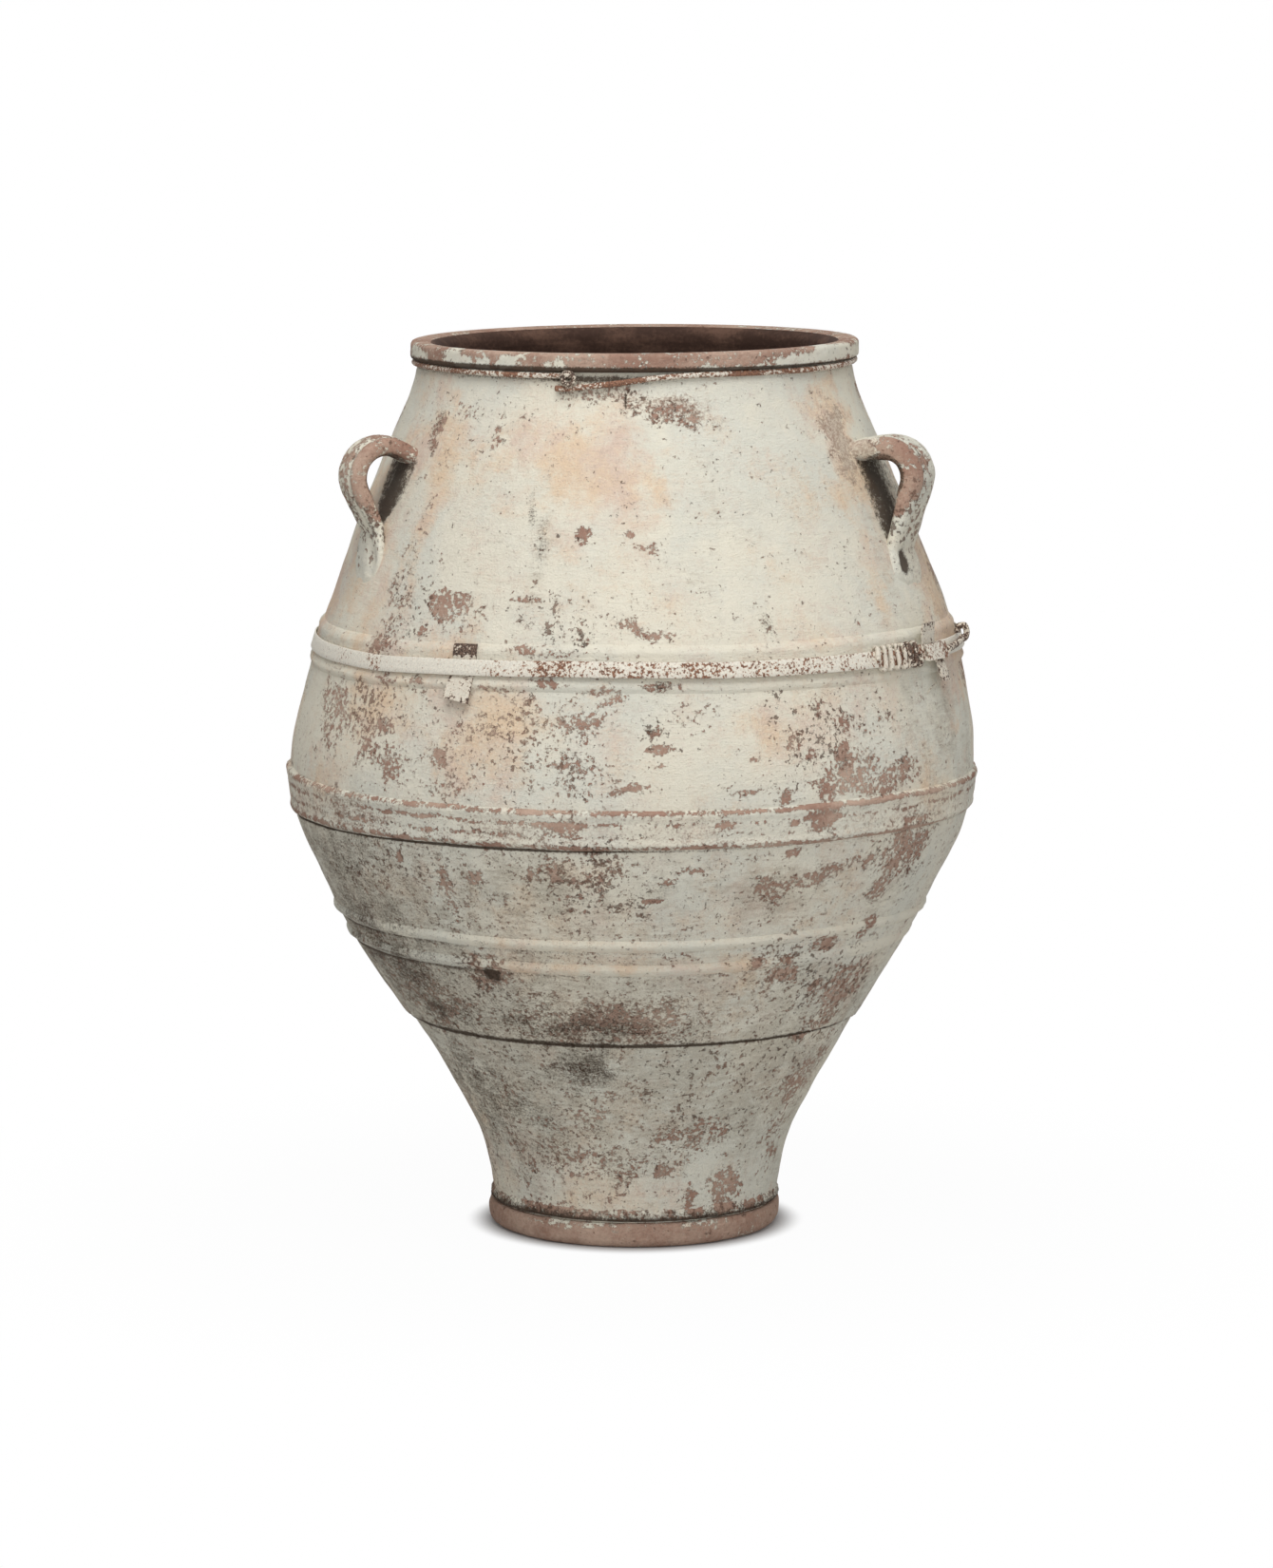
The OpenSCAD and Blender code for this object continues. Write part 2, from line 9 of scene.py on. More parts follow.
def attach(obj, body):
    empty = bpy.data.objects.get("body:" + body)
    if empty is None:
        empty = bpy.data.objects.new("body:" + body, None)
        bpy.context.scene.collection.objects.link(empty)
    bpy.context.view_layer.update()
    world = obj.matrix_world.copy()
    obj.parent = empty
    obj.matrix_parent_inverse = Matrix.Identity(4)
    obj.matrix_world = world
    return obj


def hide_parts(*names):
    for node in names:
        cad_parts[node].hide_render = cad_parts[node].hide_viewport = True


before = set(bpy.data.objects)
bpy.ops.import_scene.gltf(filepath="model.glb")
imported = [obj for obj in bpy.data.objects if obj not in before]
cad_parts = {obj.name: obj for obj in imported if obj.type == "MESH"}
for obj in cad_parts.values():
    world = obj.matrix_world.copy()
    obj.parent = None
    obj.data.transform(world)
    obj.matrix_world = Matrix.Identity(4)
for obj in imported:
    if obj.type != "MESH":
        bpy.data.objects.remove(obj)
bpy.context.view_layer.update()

# Camera, floor and lamps: the camera stands six metres off and looks down on the jar a little.
# The floor and the backdrop are white and the lamps are broad and soft.
camera = bpy.data.objects.new("camera", bpy.data.cameras.new("camera"))
bpy.context.scene.collection.objects.link(camera)
camera.data.lens = 128.57
camera.data.sensor_width = 36
camera.location = (0.002, -6.0, 1.308)
aim = Vector((0.002, 0, 0.4785))
camera.rotation_euler = (aim - camera.location).to_track_quat("-Z", "Y").to_euler()
bpy.context.scene.camera = camera
bpy.context.scene.view_settings.view_transform = "Standard"


def fill(tree, socket, value):
    """Gives a socket a plain value, or joins it to another node's output."""
    if isinstance(value, bpy.types.NodeSocket):
        tree.links.new(value, socket)
    else:
        socket.default_value = value


def started(name):
    """A new material with its shader, and the tree that its recipe is built in."""
    material = bpy.data.materials.new(name)
    material.use_nodes = True
    tree = material.node_tree
    return material, tree, tree.nodes["Principled BSDF"]


def maths(tree, kind, first, second=0.0, third=0.0):
    node = tree.nodes.new("ShaderNodeMath")
    node.operation = kind
    for socket, value in zip(node.inputs, (first, second, third)):
        fill(tree, socket, value)
    return node.outputs[0]


def eased_step(tree, value, low, high):
    """Nought below low and one above high, with a soft start and end."""
    node = tree.nodes.new("ShaderNodeMapRange")
    node.interpolation_type = "SMOOTHSTEP"
    for name, given in (("Value", value), ("From Min", low), ("From Max", high)):
        fill(tree, node.inputs[name], given)
    return node.outputs[0]


def object_place(tree):
    return tree.nodes.new("ShaderNodeTexCoord").outputs["Object"]


floor_shape = bmesh.new()
bmesh.ops.create_grid(floor_shape, x_segments=4, y_segments=4, size=12)
floor_mesh = bpy.data.meshes.new("floor")
floor_shape.to_mesh(floor_mesh)
floor_shape.free()
floor = bpy.data.objects.new("floor", floor_mesh)
bpy.context.scene.collection.objects.link(floor)

white, floor_tree, floor_shader = started("white floor")
floor_shader.inputs["Base Color"].default_value = (0.60, 0.60, 0.60, 1)
floor_shader.inputs["Roughness"].default_value = 0.9
reach = floor_tree.nodes.new("ShaderNodeVectorMath")
reach.operation = "LENGTH"
floor_tree.links.new(object_place(floor_tree), reach.inputs[0])
paper = floor_tree.nodes.new("ShaderNodeEmission")
seen = floor_tree.nodes.new("ShaderNodeLightPath")
seen_white = maths(floor_tree, "MAXIMUM", seen.outputs["Is Camera Ray"], seen.outputs["Is Glossy Ray"])
away_from_foot = eased_step(floor_tree, reach.outputs["Value"], 0.152, 0.186)
far_from_foot = eased_step(floor_tree, reach.outputs["Value"], 0.3, 0.9)
paper_share = maths(floor_tree, "MULTIPLY", away_from_foot, 0.97)
paper_share = maths(floor_tree, "MULTIPLY_ADD", far_from_foot, 0.03, paper_share)
paper_share = maths(floor_tree, "MULTIPLY", paper_share, seen_white)
floor_mix = floor_tree.nodes.new("ShaderNodeMixShader")
fill(floor_tree, floor_mix.inputs[0], paper_share)
fill(floor_tree, floor_mix.inputs[1], floor_shader.outputs[0])
fill(floor_tree, floor_mix.inputs[2], paper.outputs[0])
fill(floor_tree, floor_tree.nodes["Material Output"].inputs["Surface"], floor_mix.outputs[0])
floor_mesh.materials.append(white)

world = bpy.data.worlds.new("studio")
bpy.context.scene.world = world
world.use_nodes = True
sky = world.node_tree
sky_seen = sky.nodes.new("ShaderNodeLightPath")
sky_white = maths(sky, "MAXIMUM", sky_seen.outputs["Is Camera Ray"], sky_seen.outputs["Is Glossy Ray"])
sky_white = maths(sky, "MAXIMUM", sky_white, sky_seen.outputs["Is Transmission Ray"])
sky.nodes["Background"].inputs["Color"].default_value = (1, 1, 1, 1)
fill(sky, sky.nodes["Background"].inputs["Strength"], maths(sky, "MAXIMUM", sky_white, 0.42))


def lamp(name, place, power, size):
    data = bpy.data.lights.new(name, "AREA")
    data.shape = "DISK"
    data.size = size
    data.energy = power
    light = bpy.data.objects.new(name, data)
    bpy.context.scene.collection.objects.link(light)
    light.location = place
    light.rotation_euler = (Vector((0, 0, 0.5)) - Vector(place)).to_track_quat("-Z", "Y").to_euler()


lamp("lamp above", (-0.1, -1.7, 3.4), 58, 2.2)
lamp("lamp in front", (0.9, -4.4, 1.3), 38, 2.4)

# Walls: five hand-built stages of coarse red clay, each joined to the last when that one had stiffened.
# The whole jar was fired once and later limewashed, and the wash has worn through in places.
MM = 0.001
wall_thickness = 22
slab_top, step_level, cordon_level, belly_level, band_level, neck_top = 27, 237, 339, 480, 642, 941


def smooth_line(stations):
    """The radius at any height, on a smooth curve through stations of [height, radius]."""
    height, radius = np.array(stations, float).T
    step = np.diff(height)
    chord = np.diff(radius) / step
    inner = (chord[:-1] * step[1:] + chord[1:] * step[:-1]) / (step[:-1] + step[1:])
    slope = np.concatenate([chord[:1], inner, chord[-1:]])

    def radius_at(z):
        i = np.clip(np.searchsorted(height, z, side="right") - 1, 0, len(step) - 1)
        t = (z - height[i]) / step[i]
        return (
            (2 * t**3 - 3 * t**2 + 1) * radius[i]
            + (t**3 - 2 * t**2 + t) * step[i] * slope[i]
            + (3 * t**2 - 2 * t**3) * radius[i + 1]
            + (t**3 - t**2) * step[i] * slope[i + 1]
        )

    return radius_at


lower_radius = smooth_line([(slab_top, 152), (97, 166.8), (167, 201.7), (step_level, 243)])
upper_radius = smooth_line([
    (step_level, 248), (cordon_level, 310.5), (386, 333.3), (433, 355.2), (belly_level, 367), (534, 366.5),
    (588, 356.5), (band_level, 343), (741.7, 307.2), (841.3, 266.8), (919, 235.4), (neck_top, 231),
])


def wall_radius(z):
    below, above = lower_radius(np.minimum(z, step_level)), upper_radius(np.maximum(z, step_level))
    return np.where(z < step_level, below, above)


def wall_at(z):
    """The wall's outer radius at one height, as a plain number."""
    return float(wall_radius(np.float64(z)))


def stage_section(radius_at, low, high, close, row=3.0, inner_row=16):
    """A closed section of one stage as [radius, height], outer face first, with close rows where asked."""
    outer = np.union1d(np.linspace(low, high, round((high - low) / row) + 1), close)
    inner = np.linspace(high, low, round((high - low) / inner_row) + 1)
    lean = (radius_at(inner + 1) - radius_at(inner - 1)) / 2
    inner_radius = radius_at(inner) - wall_thickness * np.sqrt(1 + lean**2)
    return list(zip(radius_at(outer), outer)) + list(zip(inner_radius, inner))


def spun(section, start=0.0, sweep=360.0, steps=640, solid=False):
    """A closed section of [radius, height] in millimetres, spun round the jar's axis or filled to a disc."""
    shape = bmesh.new()
    turn = math.radians(start)
    ring = [shape.verts.new((r * math.sin(turn), -r * math.cos(turn), z)) for r, z in section]
    edges = [shape.edges.new((ring[i - 1], ring[i])) for i in range(len(ring))]
    eighths = 8 if sweep == 360 else 1
    bmesh.ops.spin(
        shape, geom=ring + edges, cent=(0, 0, 0), axis=(0, 0, 1),
        angle=math.radians(sweep / eighths), steps=steps // eighths,
    )
    if sweep == 360:
        for share in (8, 4, 2):
            made = bmesh.ops.duplicate(shape, geom=shape.verts[:] + shape.edges[:] + shape.faces[:])["geom"]
            turned = [part for part in made if isinstance(part, bmesh.types.BMVert)]
            bmesh.ops.rotate(shape, verts=turned, matrix=Matrix.Rotation(math.radians(360 / share), 3, "Z"))
        bmesh.ops.remove_doubles(shape, verts=[v for v in shape.verts if v.is_boundary], dist=0.01)
    if solid:
        bore_radius = section[0][0] + 0.01
        bore = [f for f in shape.faces if all(math.hypot(v.co.x, v.co.y) < bore_radius for v in f.verts)]
        bmesh.ops.delete(shape, geom=bore, context="FACES")
    if solid or sweep < 360:
        bmesh.ops.holes_fill(shape, edges=[e for e in shape.edges if e.is_boundary], sides=0)
    bmesh.ops.recalc_face_normals(shape, faces=shape.faces)
    return shape


def bumps(points, size, seed=0.0):
    """Smooth noise from about -1 to 1 with features of the given size."""
    place = np.asarray(points, float) / size + 7.31 * seed + 500.5
    cell = np.floor(place).astype(np.int64)
    part = place - cell
    ease = part**3 * (part * (part * 6 - 15) + 10)
    total = np.zeros(len(place))
    for corner in range(8):
        step = np.array([corner & 1, corner >> 1 & 1, corner >> 2])
        near = cell + step
        mixed = near[:, 0] * 73856093 ^ near[:, 1] * 19349663 ^ near[:, 2] * 83492791
        mixed = (mixed ^ mixed >> 13) * 1274126177 & 0x3FFFFFFF
        mixed = (mixed ^ mixed >> 11) * 668265263 & 0x3FFFFFFF
        slope = np.stack([mixed & 1023, mixed >> 10 & 1023, mixed >> 20 & 1023], axis=1) / 511.5 - 1
        share = np.where(step, ease, 1 - ease).prod(axis=1)
        total += share * (slope * (part - step)).sum(axis=1)
    return 1.9 * total


def angle_of(points):
    return np.degrees(np.arctan2(points[:, 0], -points[:, 1]))


# How far the jar's middle strays sideways at each height, and how far its bands stray up and down.
# Each row of the second is [height, rises at the angles]; between the rows and angles it is a straight mix.
stray_heights = [0, 200, 240, 270, 300, 345, 390, 430, 495, 560, 600, 660, 690, 720, 760, 960]
stray_sideways = [0, 0, -2.5, -4.0, -4.8, -4.2, -4.0, -2.3, -2.3, 0, 1, 1.2, 2.6, 1.6, 0.4, 0]
rise_angles = [-180, -90, -70, -50, -36, -20, -13, 3, 15, 30, 50, 66, 90, 180]
rise_rows = [
    (290, [0] * 14),
    (326, [0, 0, 0, 0, 0, 0, 0, 0, 0, 2, 4, 3, 0, 0]),
    (353, [0, 0, 0, 0, 0, 0, 0, 0, 0, 2, 4, 3, 0, 0]),
    (400, [0] * 14),
    (460, [0, -6, -2, 0, 1, 1, 1, 1.5, 1.5, 2, 3, 4, 1, 0]),
    (498, [0, 5, 1, 0, 0, 0, 0, 0, 0, 1, 2, 2.5, 1.5, 0]),
    (560, [0] * 14),
    (625, [0, -2, -4.5, -5.5, -2, 0.5, 1.8, 1.6, 0.3, 0, 0, 0, 0, 0]),
    (662, [0, -2, -4.5, -5.5, -2, 0.5, 1.8, 1.6, 0.3, 1, 2, 1, 0, 0]),
    (720, [0] * 14),
]


def hand_made(points):
    """The jar as its maker left it: stages a little off centre, bands a little off level, the lip tipped."""
    x, y, z = points.T
    turn = angle_of(points)
    rises = np.array([np.interp(turn, rise_angles, row) for height, row in rise_rows])
    heights = [height for height, row in rise_rows]
    above = np.clip(np.searchsorted(heights, z, side="right"), 1, len(heights) - 1)
    low, high = np.array(heights)[above - 1], np.array(heights)[above]
    share = np.clip((z - low) / (high - low), 0, 1)
    each = np.arange(len(z))
    rise = rises[above - 1, each] * (1 - share) + rises[above, each] * share
    lean = np.interp(z, [880, neck_top], [0, 0.0064])
    dip = np.interp(z, [850, neck_top], [0, 0.010])
    return np.stack([x + np.interp(z, stray_heights, stray_sideways), y, z + rise + lean * x + dip * y], axis=1)


def pushed_out(points, push):
    outward = points[:, :2] / np.maximum(np.hypot(points[:, 0], points[:, 1]), 1)[:, None]
    moved = points.copy()
    moved[:, :2] += outward * push[:, None]
    return moved


def thrown(points):
    """The wall's slight dents, lumps and finger ripples."""
    around = points * [1, 1, 3.2]
    return pushed_out(
        points,
        1.1 * bumps(points, 150) + 0.5 * bumps(points, 42, 5) + 0.22 * bumps(points, 15, 9)
        + 0.28 * bumps(around, 60, 3),
    )


def finished(shape, node, slot, finish, shaping):
    """Turns a shape into the piece that stands for a node, and returns it with its points in millimetres."""
    name = node + ("_iron" if slot.endswith("iron") else "_clay")
    mesh = bpy.data.meshes.new(name)
    shape.to_mesh(mesh)
    shape.free()
    points = np.empty(len(mesh.vertices) * 3, np.float32)
    mesh.vertices.foreach_get("co", points)
    points = hand_made(shaping(points.reshape(-1, 3).astype(float)))
    mesh.vertices.foreach_set("co", (points * MM).astype(np.float32).ravel())
    mesh.update()
    mesh.shade_smooth()
    mesh.set_sharp_from_angle(angle=math.radians(48))
    mesh.materials.append(finish)
    piece = bpy.data.objects.new(name, mesh)
    bpy.context.scene.collection.objects.link(piece)
    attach(piece, "root")
    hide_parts(node)
    return piece, points


def mark(piece, **values):
    """Keeps a number for each point of a piece, or one for them all, which its finish reads."""
    for name, amount in values.items():
        attribute = piece.data.attributes.new(name, "FLOAT", "POINT")
        attribute.data.foreach_set("value", np.full(len(piece.data.vertices), amount, np.float32))


# One patch is: angle from the front in degrees, height, half width and half height in millimetres,
# strength, and the rise of the patch for each millimetre to the right
bare_patches = [
    (-62, 590, 30, 42, 0.6), (-48, 569, 24, 15, 0.75), (-52, 652, 17, 10, 0.75), (-41.5, 674, 7, 6, 0.7),
    (-37, 700, 24, 13, 0.95), (-34, 548, 17, 9, 0.85), (-43.5, 535, 15, 18, 0.7), (-8, 590, 34, 17, 0.75, 0.3),
    (-2, 521, 24, 4, 0.8, 0.25), (-3.5, 613, 16, 4, 0.8, 0.2), (-20, 661, 14, 5, 0.85), (-2, 690, 12, 5, 0.7),
    (-48.5, 623, 18, 6, 0.75), (-40.5, 624, 13, 4, 0.7), (-14.5, 627, 15, 4, 0.75), (-5, 621, 24, 5, 0.8, 0.1),
    (-24, 621, 24, 4, 0.6), (4, 677, 17, 7, 0.85), (0, 686, 7, 9, 0.85), (44, 680, 5, 4, 0.7),
    (-36, 690, 40, 24, 0.35), (-50, 700, 24, 40, 0.45), (-15, 680, 50, 16, 0.3), (4.5, 625, 20, 6, 0.7),
    (32, 601, 11, 11, 0.65), (36, 586, 12, 15, 0.65), (3, 581, 10, 8, 0.6), (4, 562, 14, 5, 0.85),
    (4.5, 547, 6, 4, 0.95), (19.5, 552, 10, 3, 0.9), (27, 568, 12, 12, 0.65), (30, 552, 8, 8, 0.8),
    (35.5, 553, 14, 11, 0.85), (36.5, 526, 36, 21, 1.1, 0.1), (47, 520, 34, 13, 1.0, 0.2), (25, 511, 10, 8, 1.0),
    (18, 517, 15, 4, 0.9), (31.5, 491, 19, 12, 1.1), (15, 485, 9, 6, 0.9), (26.5, 483, 7, 4, 0.9),
    (-11.5, 482, 21, 6, 0.9), (53, 441, 46, 30, 0.75), (27, 451, 12, 6, 1.0), (34.5, 427, 32, 10, 0.8, 0.3),
    (24, 414, 25, 14, 0.55), (5.5, 427, 11, 6, 0.7), (10, 437, 16, 3, 0.7), (3, 405, 12, 4, 0.7),
    (43, 434, 5, 7, 1.0), (49, 400, 14, 13, 0.85), (51, 354, 13, 15, 0.85), (40, 342, 13, 12, 0.9),
    (25, 328, 16, 8, 1.1), (32, 315, 22, 15, 1.0), (42, 294, 9, 8, 0.9), (52, 282, 36, 34, 0.6),
    (47, 231, 16, 6, 1.0), (-34, 414, 8, 28, 0.75), (-42.5, 437, 5, 7, 0.85), (-27.7, 423, 10, 9, 0.75),
    (-17, 435, 13, 11, 0.5), (-13.5, 436, 5, 19, 0.75), (-8.5, 424, 32, 33, 0.42), (-30, 317, 26, 16, 0.85),
    (-55, 875, 12, 17, 0.75), (-34, 876, 6, 15, 0.7), (-45, 895, 15, 10, 0.6), (-29, 890, 8, 13, 0.6),
    (-14, 918, 36, 12, 0.5), (0, 906, 36, 16, 0.52, -0.3), (12, 893, 26, 12, 0.6, -0.3), (-10.5, 774, 8, 10, 0.95),
    (-1, 777, 6, 5, 1.0), (3, 764, 17, 7, 0.9, -0.3), (-41, 747, 7, 7, 0.85), (-19, 710, 21, 4, 0.75),
    (-36, 709, 18, 7, 0.95), (-48, 800, 9, 60, 0.3), (-53, 850, 7, 30, 0.35), (-25, 70, 60, 60, 0.1),
    (-45, 150, 90, 70, 0.12), (-10, 150, 36, 30, 0.25), (-5, 95, 80, 20, 0.2), (62, 190, 34, 40, 0.5),
    (55, 165, 26, 16, 0.7), (60, 110, 24, 34, 0.5), (38, 60, 18, 18, 1.0), (22, 55, 8, 14, 0.95),
    (10, 88, 8, 9, 0.85), (20, 128, 60, 16, 0.5), (-60, 300, 60, 50, 0.2), (4, 268, 62, 24, 0.35),
    (-12, 262, 60, 22, 0.35), (-48, 268, 40, 22, 0.25), (-20, 600, 60, 50, 0.3), (-46, 600, 60, 60, 0.15),
    (-46, 655, 30, 8, 0.4), (-10, 655, 60, 8, 0.35), (-8, 545, 60, 30, 0.3), (-56, 575, 40, 20, 0.3),
    (-50, 540, 30, 14, 0.3), (-30, 575, 40, 20, 0.2), (40, 575, 40, 20, 0.35), (10, 600, 40, 20, 0.3),
    (-30, 520, 50, 12, 0.4),
]
speck_patches = [
    (-22, 560, 46, 62, 0.55), (-12, 545, 40, 50, 0.45), (-45, 600, 70, 50, 0.5), (-18, 597, 4, 58, 0.6),
    (-14.6, 680, 7, 22, 0.9), (-10, 676, 14, 15, 0.8), (-52, 601, 24, 22, 0.8), (-10, 520, 5, 34, 0.8),
    (24, 596, 14, 32, 0.75), (33, 590, 34, 34, 0.6), (24, 686, 13, 20, 0.7), (3, 582, 20, 16, 0.6),
    (30, 560, 40, 30, 0.5), (45, 560, 50, 60, 0.35), (-8.7, 424, 60, 40, 0.7), (-32, 317, 34, 22, 1.0),
    (53, 441, 60, 46, 0.5), (30, 320, 60, 44, 0.8), (50, 290, 60, 60, 0.7), (-30, 250, 90, 60, 0.55),
    (0, 262, 80, 40, 0.4), (0, 150, 160, 90, 0.25), (30, 200, 90, 60, 0.5), (-55, 880, 22, 40, 0.45),
    (-38, 880, 50, 40, 0.35), (-10, 914, 50, 14, 0.5, -0.2), (6, 902, 60, 20, 0.5, -0.3), (-19, 766, 8, 30, 0.6),
    (-21.5, 797, 6, 18, 0.6), (-49, 735, 16, 50, 0.5), (-44, 700, 40, 40, 0.5), (-14, 700, 60, 24, 0.5),
    (0, 420, 260, 60, 0.2), (-45, 430, 120, 60, 0.45),
]
peach_patches = [
    (-51, 604, 44, 44, 0.9), (-22.6, 552, 40, 50, 0.45), (-23.4, 534, 44, 34, 0.3), (33, 584, 62, 36, 0.7),
    (49, 604, 18, 30, 0.8), (72, 606, 40, 56, 0.8), (22, 556, 46, 36, 0.5), (-8.5, 436, 30, 22, 0.6),
    (59, 287, 26, 30, 0.7), (-56, 862, 30, 50, 0.8), (46, 893, 30, 36, 0.7), (58, 868, 26, 44, 1.8),
    (54, 895, 24, 30, 0.7), (-48, 838, 22, 60, 1.0), (-14, 838, 80, 40, 0.8), (-16, 768, 26, 20, 0.8),
    (-2, 800, 40, 60, 0.6), (-60, 700, 50, 60, 0.8), (-30, 870, 60, 30, 0.5), (60, 800, 26, 90, 0.6),
    (52, 760, 16, 90, 0.7), (30, 720, 60, 60, 0.35), (-66, 780, 50, 70, 0.6), (0, 335, 120, 12, 0.6),
    (-20, 322, 60, 10, 0.5), (20, 318, 60, 26, 0.5), (-10, 60, 60, 30, 0.55), (0, 150, 150, 70, 0.15),
    (-40, 130, 90, 90, 0.3), (25, 400, 120, 50, 0.5), (-12, 380, 80, 50, 0.5), (-50, 400, 90, 40, 0.35),
    (0, 262, 120, 26, 0.5), (-60, 520, 50, 40, 0.6), (-40, 660, 60, 40, 0.6), (-35, 580, 120, 70, 0.45),
    (0, 560, 70, 30, 0.3), (-10, 870, 60, 50, 0.35), (20, 820, 40, 40, 0.3), (56, 500, 60, 40, 0.5),
    (-78, 740, 60, 120, 0.6), (78, 740, 60, 120, 0.6), (-70, 480, 60, 30, 0.5), (-25, 596, 60, 30, 0.45),
    (36, 664, 60, 16, 0.5), (75, 690, 60, 70, 0.6),
]
# The broad grey patches low on the body darken it towards the bottom, and those on the lower left are painted shade;
# the rest are the wash's own grey.
grey_patches = [
    (63, 550, 90, 70, 0.6), (-50, 690, 30, 60, 0.2), (-14, 640, 30, 20, 0.2), (24, 414, 50, 30, 0.5),
    (40, 420, 60, 40, 0.2), (-20, 420, 60, 30, 0.5), (-55, 470, 160, 60, 0.1), (-55, 300, 90, 60, 0.5),
    (-19, 766, 12, 60, 0.6), (-38, 884, 50, 30, 0.2), (58, 740, 20, 120, 0.5), (15, 800, 60, 120, 0.25),
    (0, 380, 400, 90, 0.2), (0, 270, 400, 60, 0.5), (0, 160, 400, 80, 0.62), (-70, 380, 160, 100, 0.6),
    (35, 190, 90, 50, 0.3),
]
# Dark patches, partly dirt and partly painted shade: the strip just under the neck wire and the broad patches on the
# lower left are painted shade.
dirt_patches = [
    (-2.2, 907, 1.6, 10, 1.2), (-8, 931, 50, 4, 0.7), (-12, 922, 30, 5, 0.3), (4, 266, 70, 26, 0.2),
    (-18, 264, 80, 24, 0.22), (-8, 254, 110, 12, 0.2), (-48, 262, 50, 14, 0.2), (-29, 312, 9, 7, 1.0),
    (-30, 320, 6, 5, 0.9), (-12, 205, 40, 26, 0.55), (-50, 170, 90, 60, 0.35), (-62, 330, 90, 60, 0.3),
    (-50, 290, 50, 34, 0.15), (-60, 425, 90, 30, 0.25), (-19, 766, 8, 26, 0.5), (-21.5, 797, 6, 18, 0.5),
    (-49, 733, 12, 44, 0.3), (-55, 880, 12, 20, 0.4), (4.6, 626, 16, 5, 0.6), (3, 582, 9, 7, 0.5),
    (63.6, 732, 8, 12, 1.3), (24, 686, 8, 14, 0.4), (-2, 521, 20, 3, 0.5, 0.25), (36, 540, 16, 12, 0.45),
]
rub_patches = [
    (48, 888, 26, 34, 1.0), (57, 866, 28, 44, 3.0), (72, 700, 40, 70, 1.0), (62, 760, 26, 40, 0.7),
    (-50, 872, 16, 26, 0.4), (-66, 700, 30, 60, 0.4), (-58, 600, 60, 50, 0.05), (-42, 560, 50, 50, 0.4),
    (-26, 555, 44, 46, 0.45), (-14, 590, 40, 30, 0.5), (-35, 690, 50, 14, 0.7), (-8, 690, 60, 14, 0.5),
    (36, 560, 60, 50, 0.8), (60, 560, 60, 60, 0.9), (28, 600, 40, 30, 0.6), (-20, 780, 40, 40, 0.35),
    (-56, 480, 60, 20, 1.0), (-20, 478, 60, 12, 0.7), (10, 476, 70, 12, 0.5), (50, 480, 60, 16, 0.6),
    (-62, 830, 20, 60, 0.3), (-6, 912, 60, 14, 1.0, -0.15), (7, 903, 50, 20, 1.6, -0.3),
    (14, 892, 26, 12, 1.0, -0.3), (0, 270, 90, 26, 0.8), (-70, 640, 50, 16, 0.7), (120, 600, 120, 90, 0.8),
    (-130, 560, 140, 80, 0.8), (170, 700, 120, 80, 0.5), (-110, 800, 80, 70, 0.6),
]
# Painted shadow on the wall behind each handle: the handle's angle, the height of the gap's lower end,
# and how far the shadow reaches towards the front and towards the back
handle_shadows = [(-65, 762, 36, 42), (66.5, 722, 37, 90), (180, 762, 36, 36)]
chance = np.random.default_rng(7)
for patches, how_many in ((bare_patches, 110), (speck_patches, 40), (peach_patches, 40), (grey_patches, 20)):
    for _ in range(how_many):
        turn, height = chance.uniform(84, 276), chance.uniform(40, 930)
        size = chance.uniform(7, 34) if patches is bare_patches else chance.uniform(20, 70)
        patches.append((
            turn if turn < 180 else turn - 360, height, size * chance.uniform(0.8, 1.8), size,
            chance.uniform(0.6, 1.0), chance.uniform(-0.3, 0.3),
        ))


def spread(points, patches):
    """How strongly a list of patches shows at each point."""
    turn, radius, z = angle_of(points), np.hypot(points[:, 0], points[:, 1]), points[:, 2]
    wander_across = 0.45 * bumps(points, 34, 41) + 0.3 * bumps(points, 13, 43)
    wander_up = 0.45 * bumps(points, 34, 47) + 0.3 * bumps(points, 13, 49)
    total = np.zeros(len(points))
    for angle, height, half_width, half_height, strength, *rise in patches:
        aside = (turn - angle + 180) % 360 - 180
        close_up = np.abs(z - height) < 2 * half_height + half_width
        near = np.flatnonzero(close_up & (np.abs(aside) < math.degrees(3 * half_width / 150)))
        across = np.radians(aside[near]) * radius[near]
        up = z[near] - height - (rise[0] * across if rise else 0)
        far = np.hypot(across / half_width + wander_across[near], up / half_height + wander_up[near])
        total[near] += strength * np.clip(1.35 - 0.95 * far, 0, 1)
    return total


def shadow_behind_handles(points):
    """Painted shadow on the wall behind each handle, darkest next to the handle."""
    turn, radius, z = angle_of(points), np.hypot(points[:, 0], points[:, 1]), points[:, 2]
    total = np.zeros(len(points))
    for angle, low, to_front, to_back in handle_shadows:
        across = np.radians((turn - angle + 180) % 360 - 180) * radius * np.sign(angle)
        reach = np.where(across < 0, to_front, to_back) * np.clip((z - low) / 44, 0, 1) ** 0.8
        reach *= np.clip((851 - z) / 12, 0, 1) ** 0.5
        inside = np.clip((reach - np.abs(across)) / 9 + 0.5 * bumps(points, 7, 5), 0, 1) * (reach > 0)
        depth = 0.38 + 0.8 * np.clip(1.1 - np.abs(across) / to_front, 0, 1)
        total += inside * (depth + 0.3 * bumps(points, 6, 9))
    return total


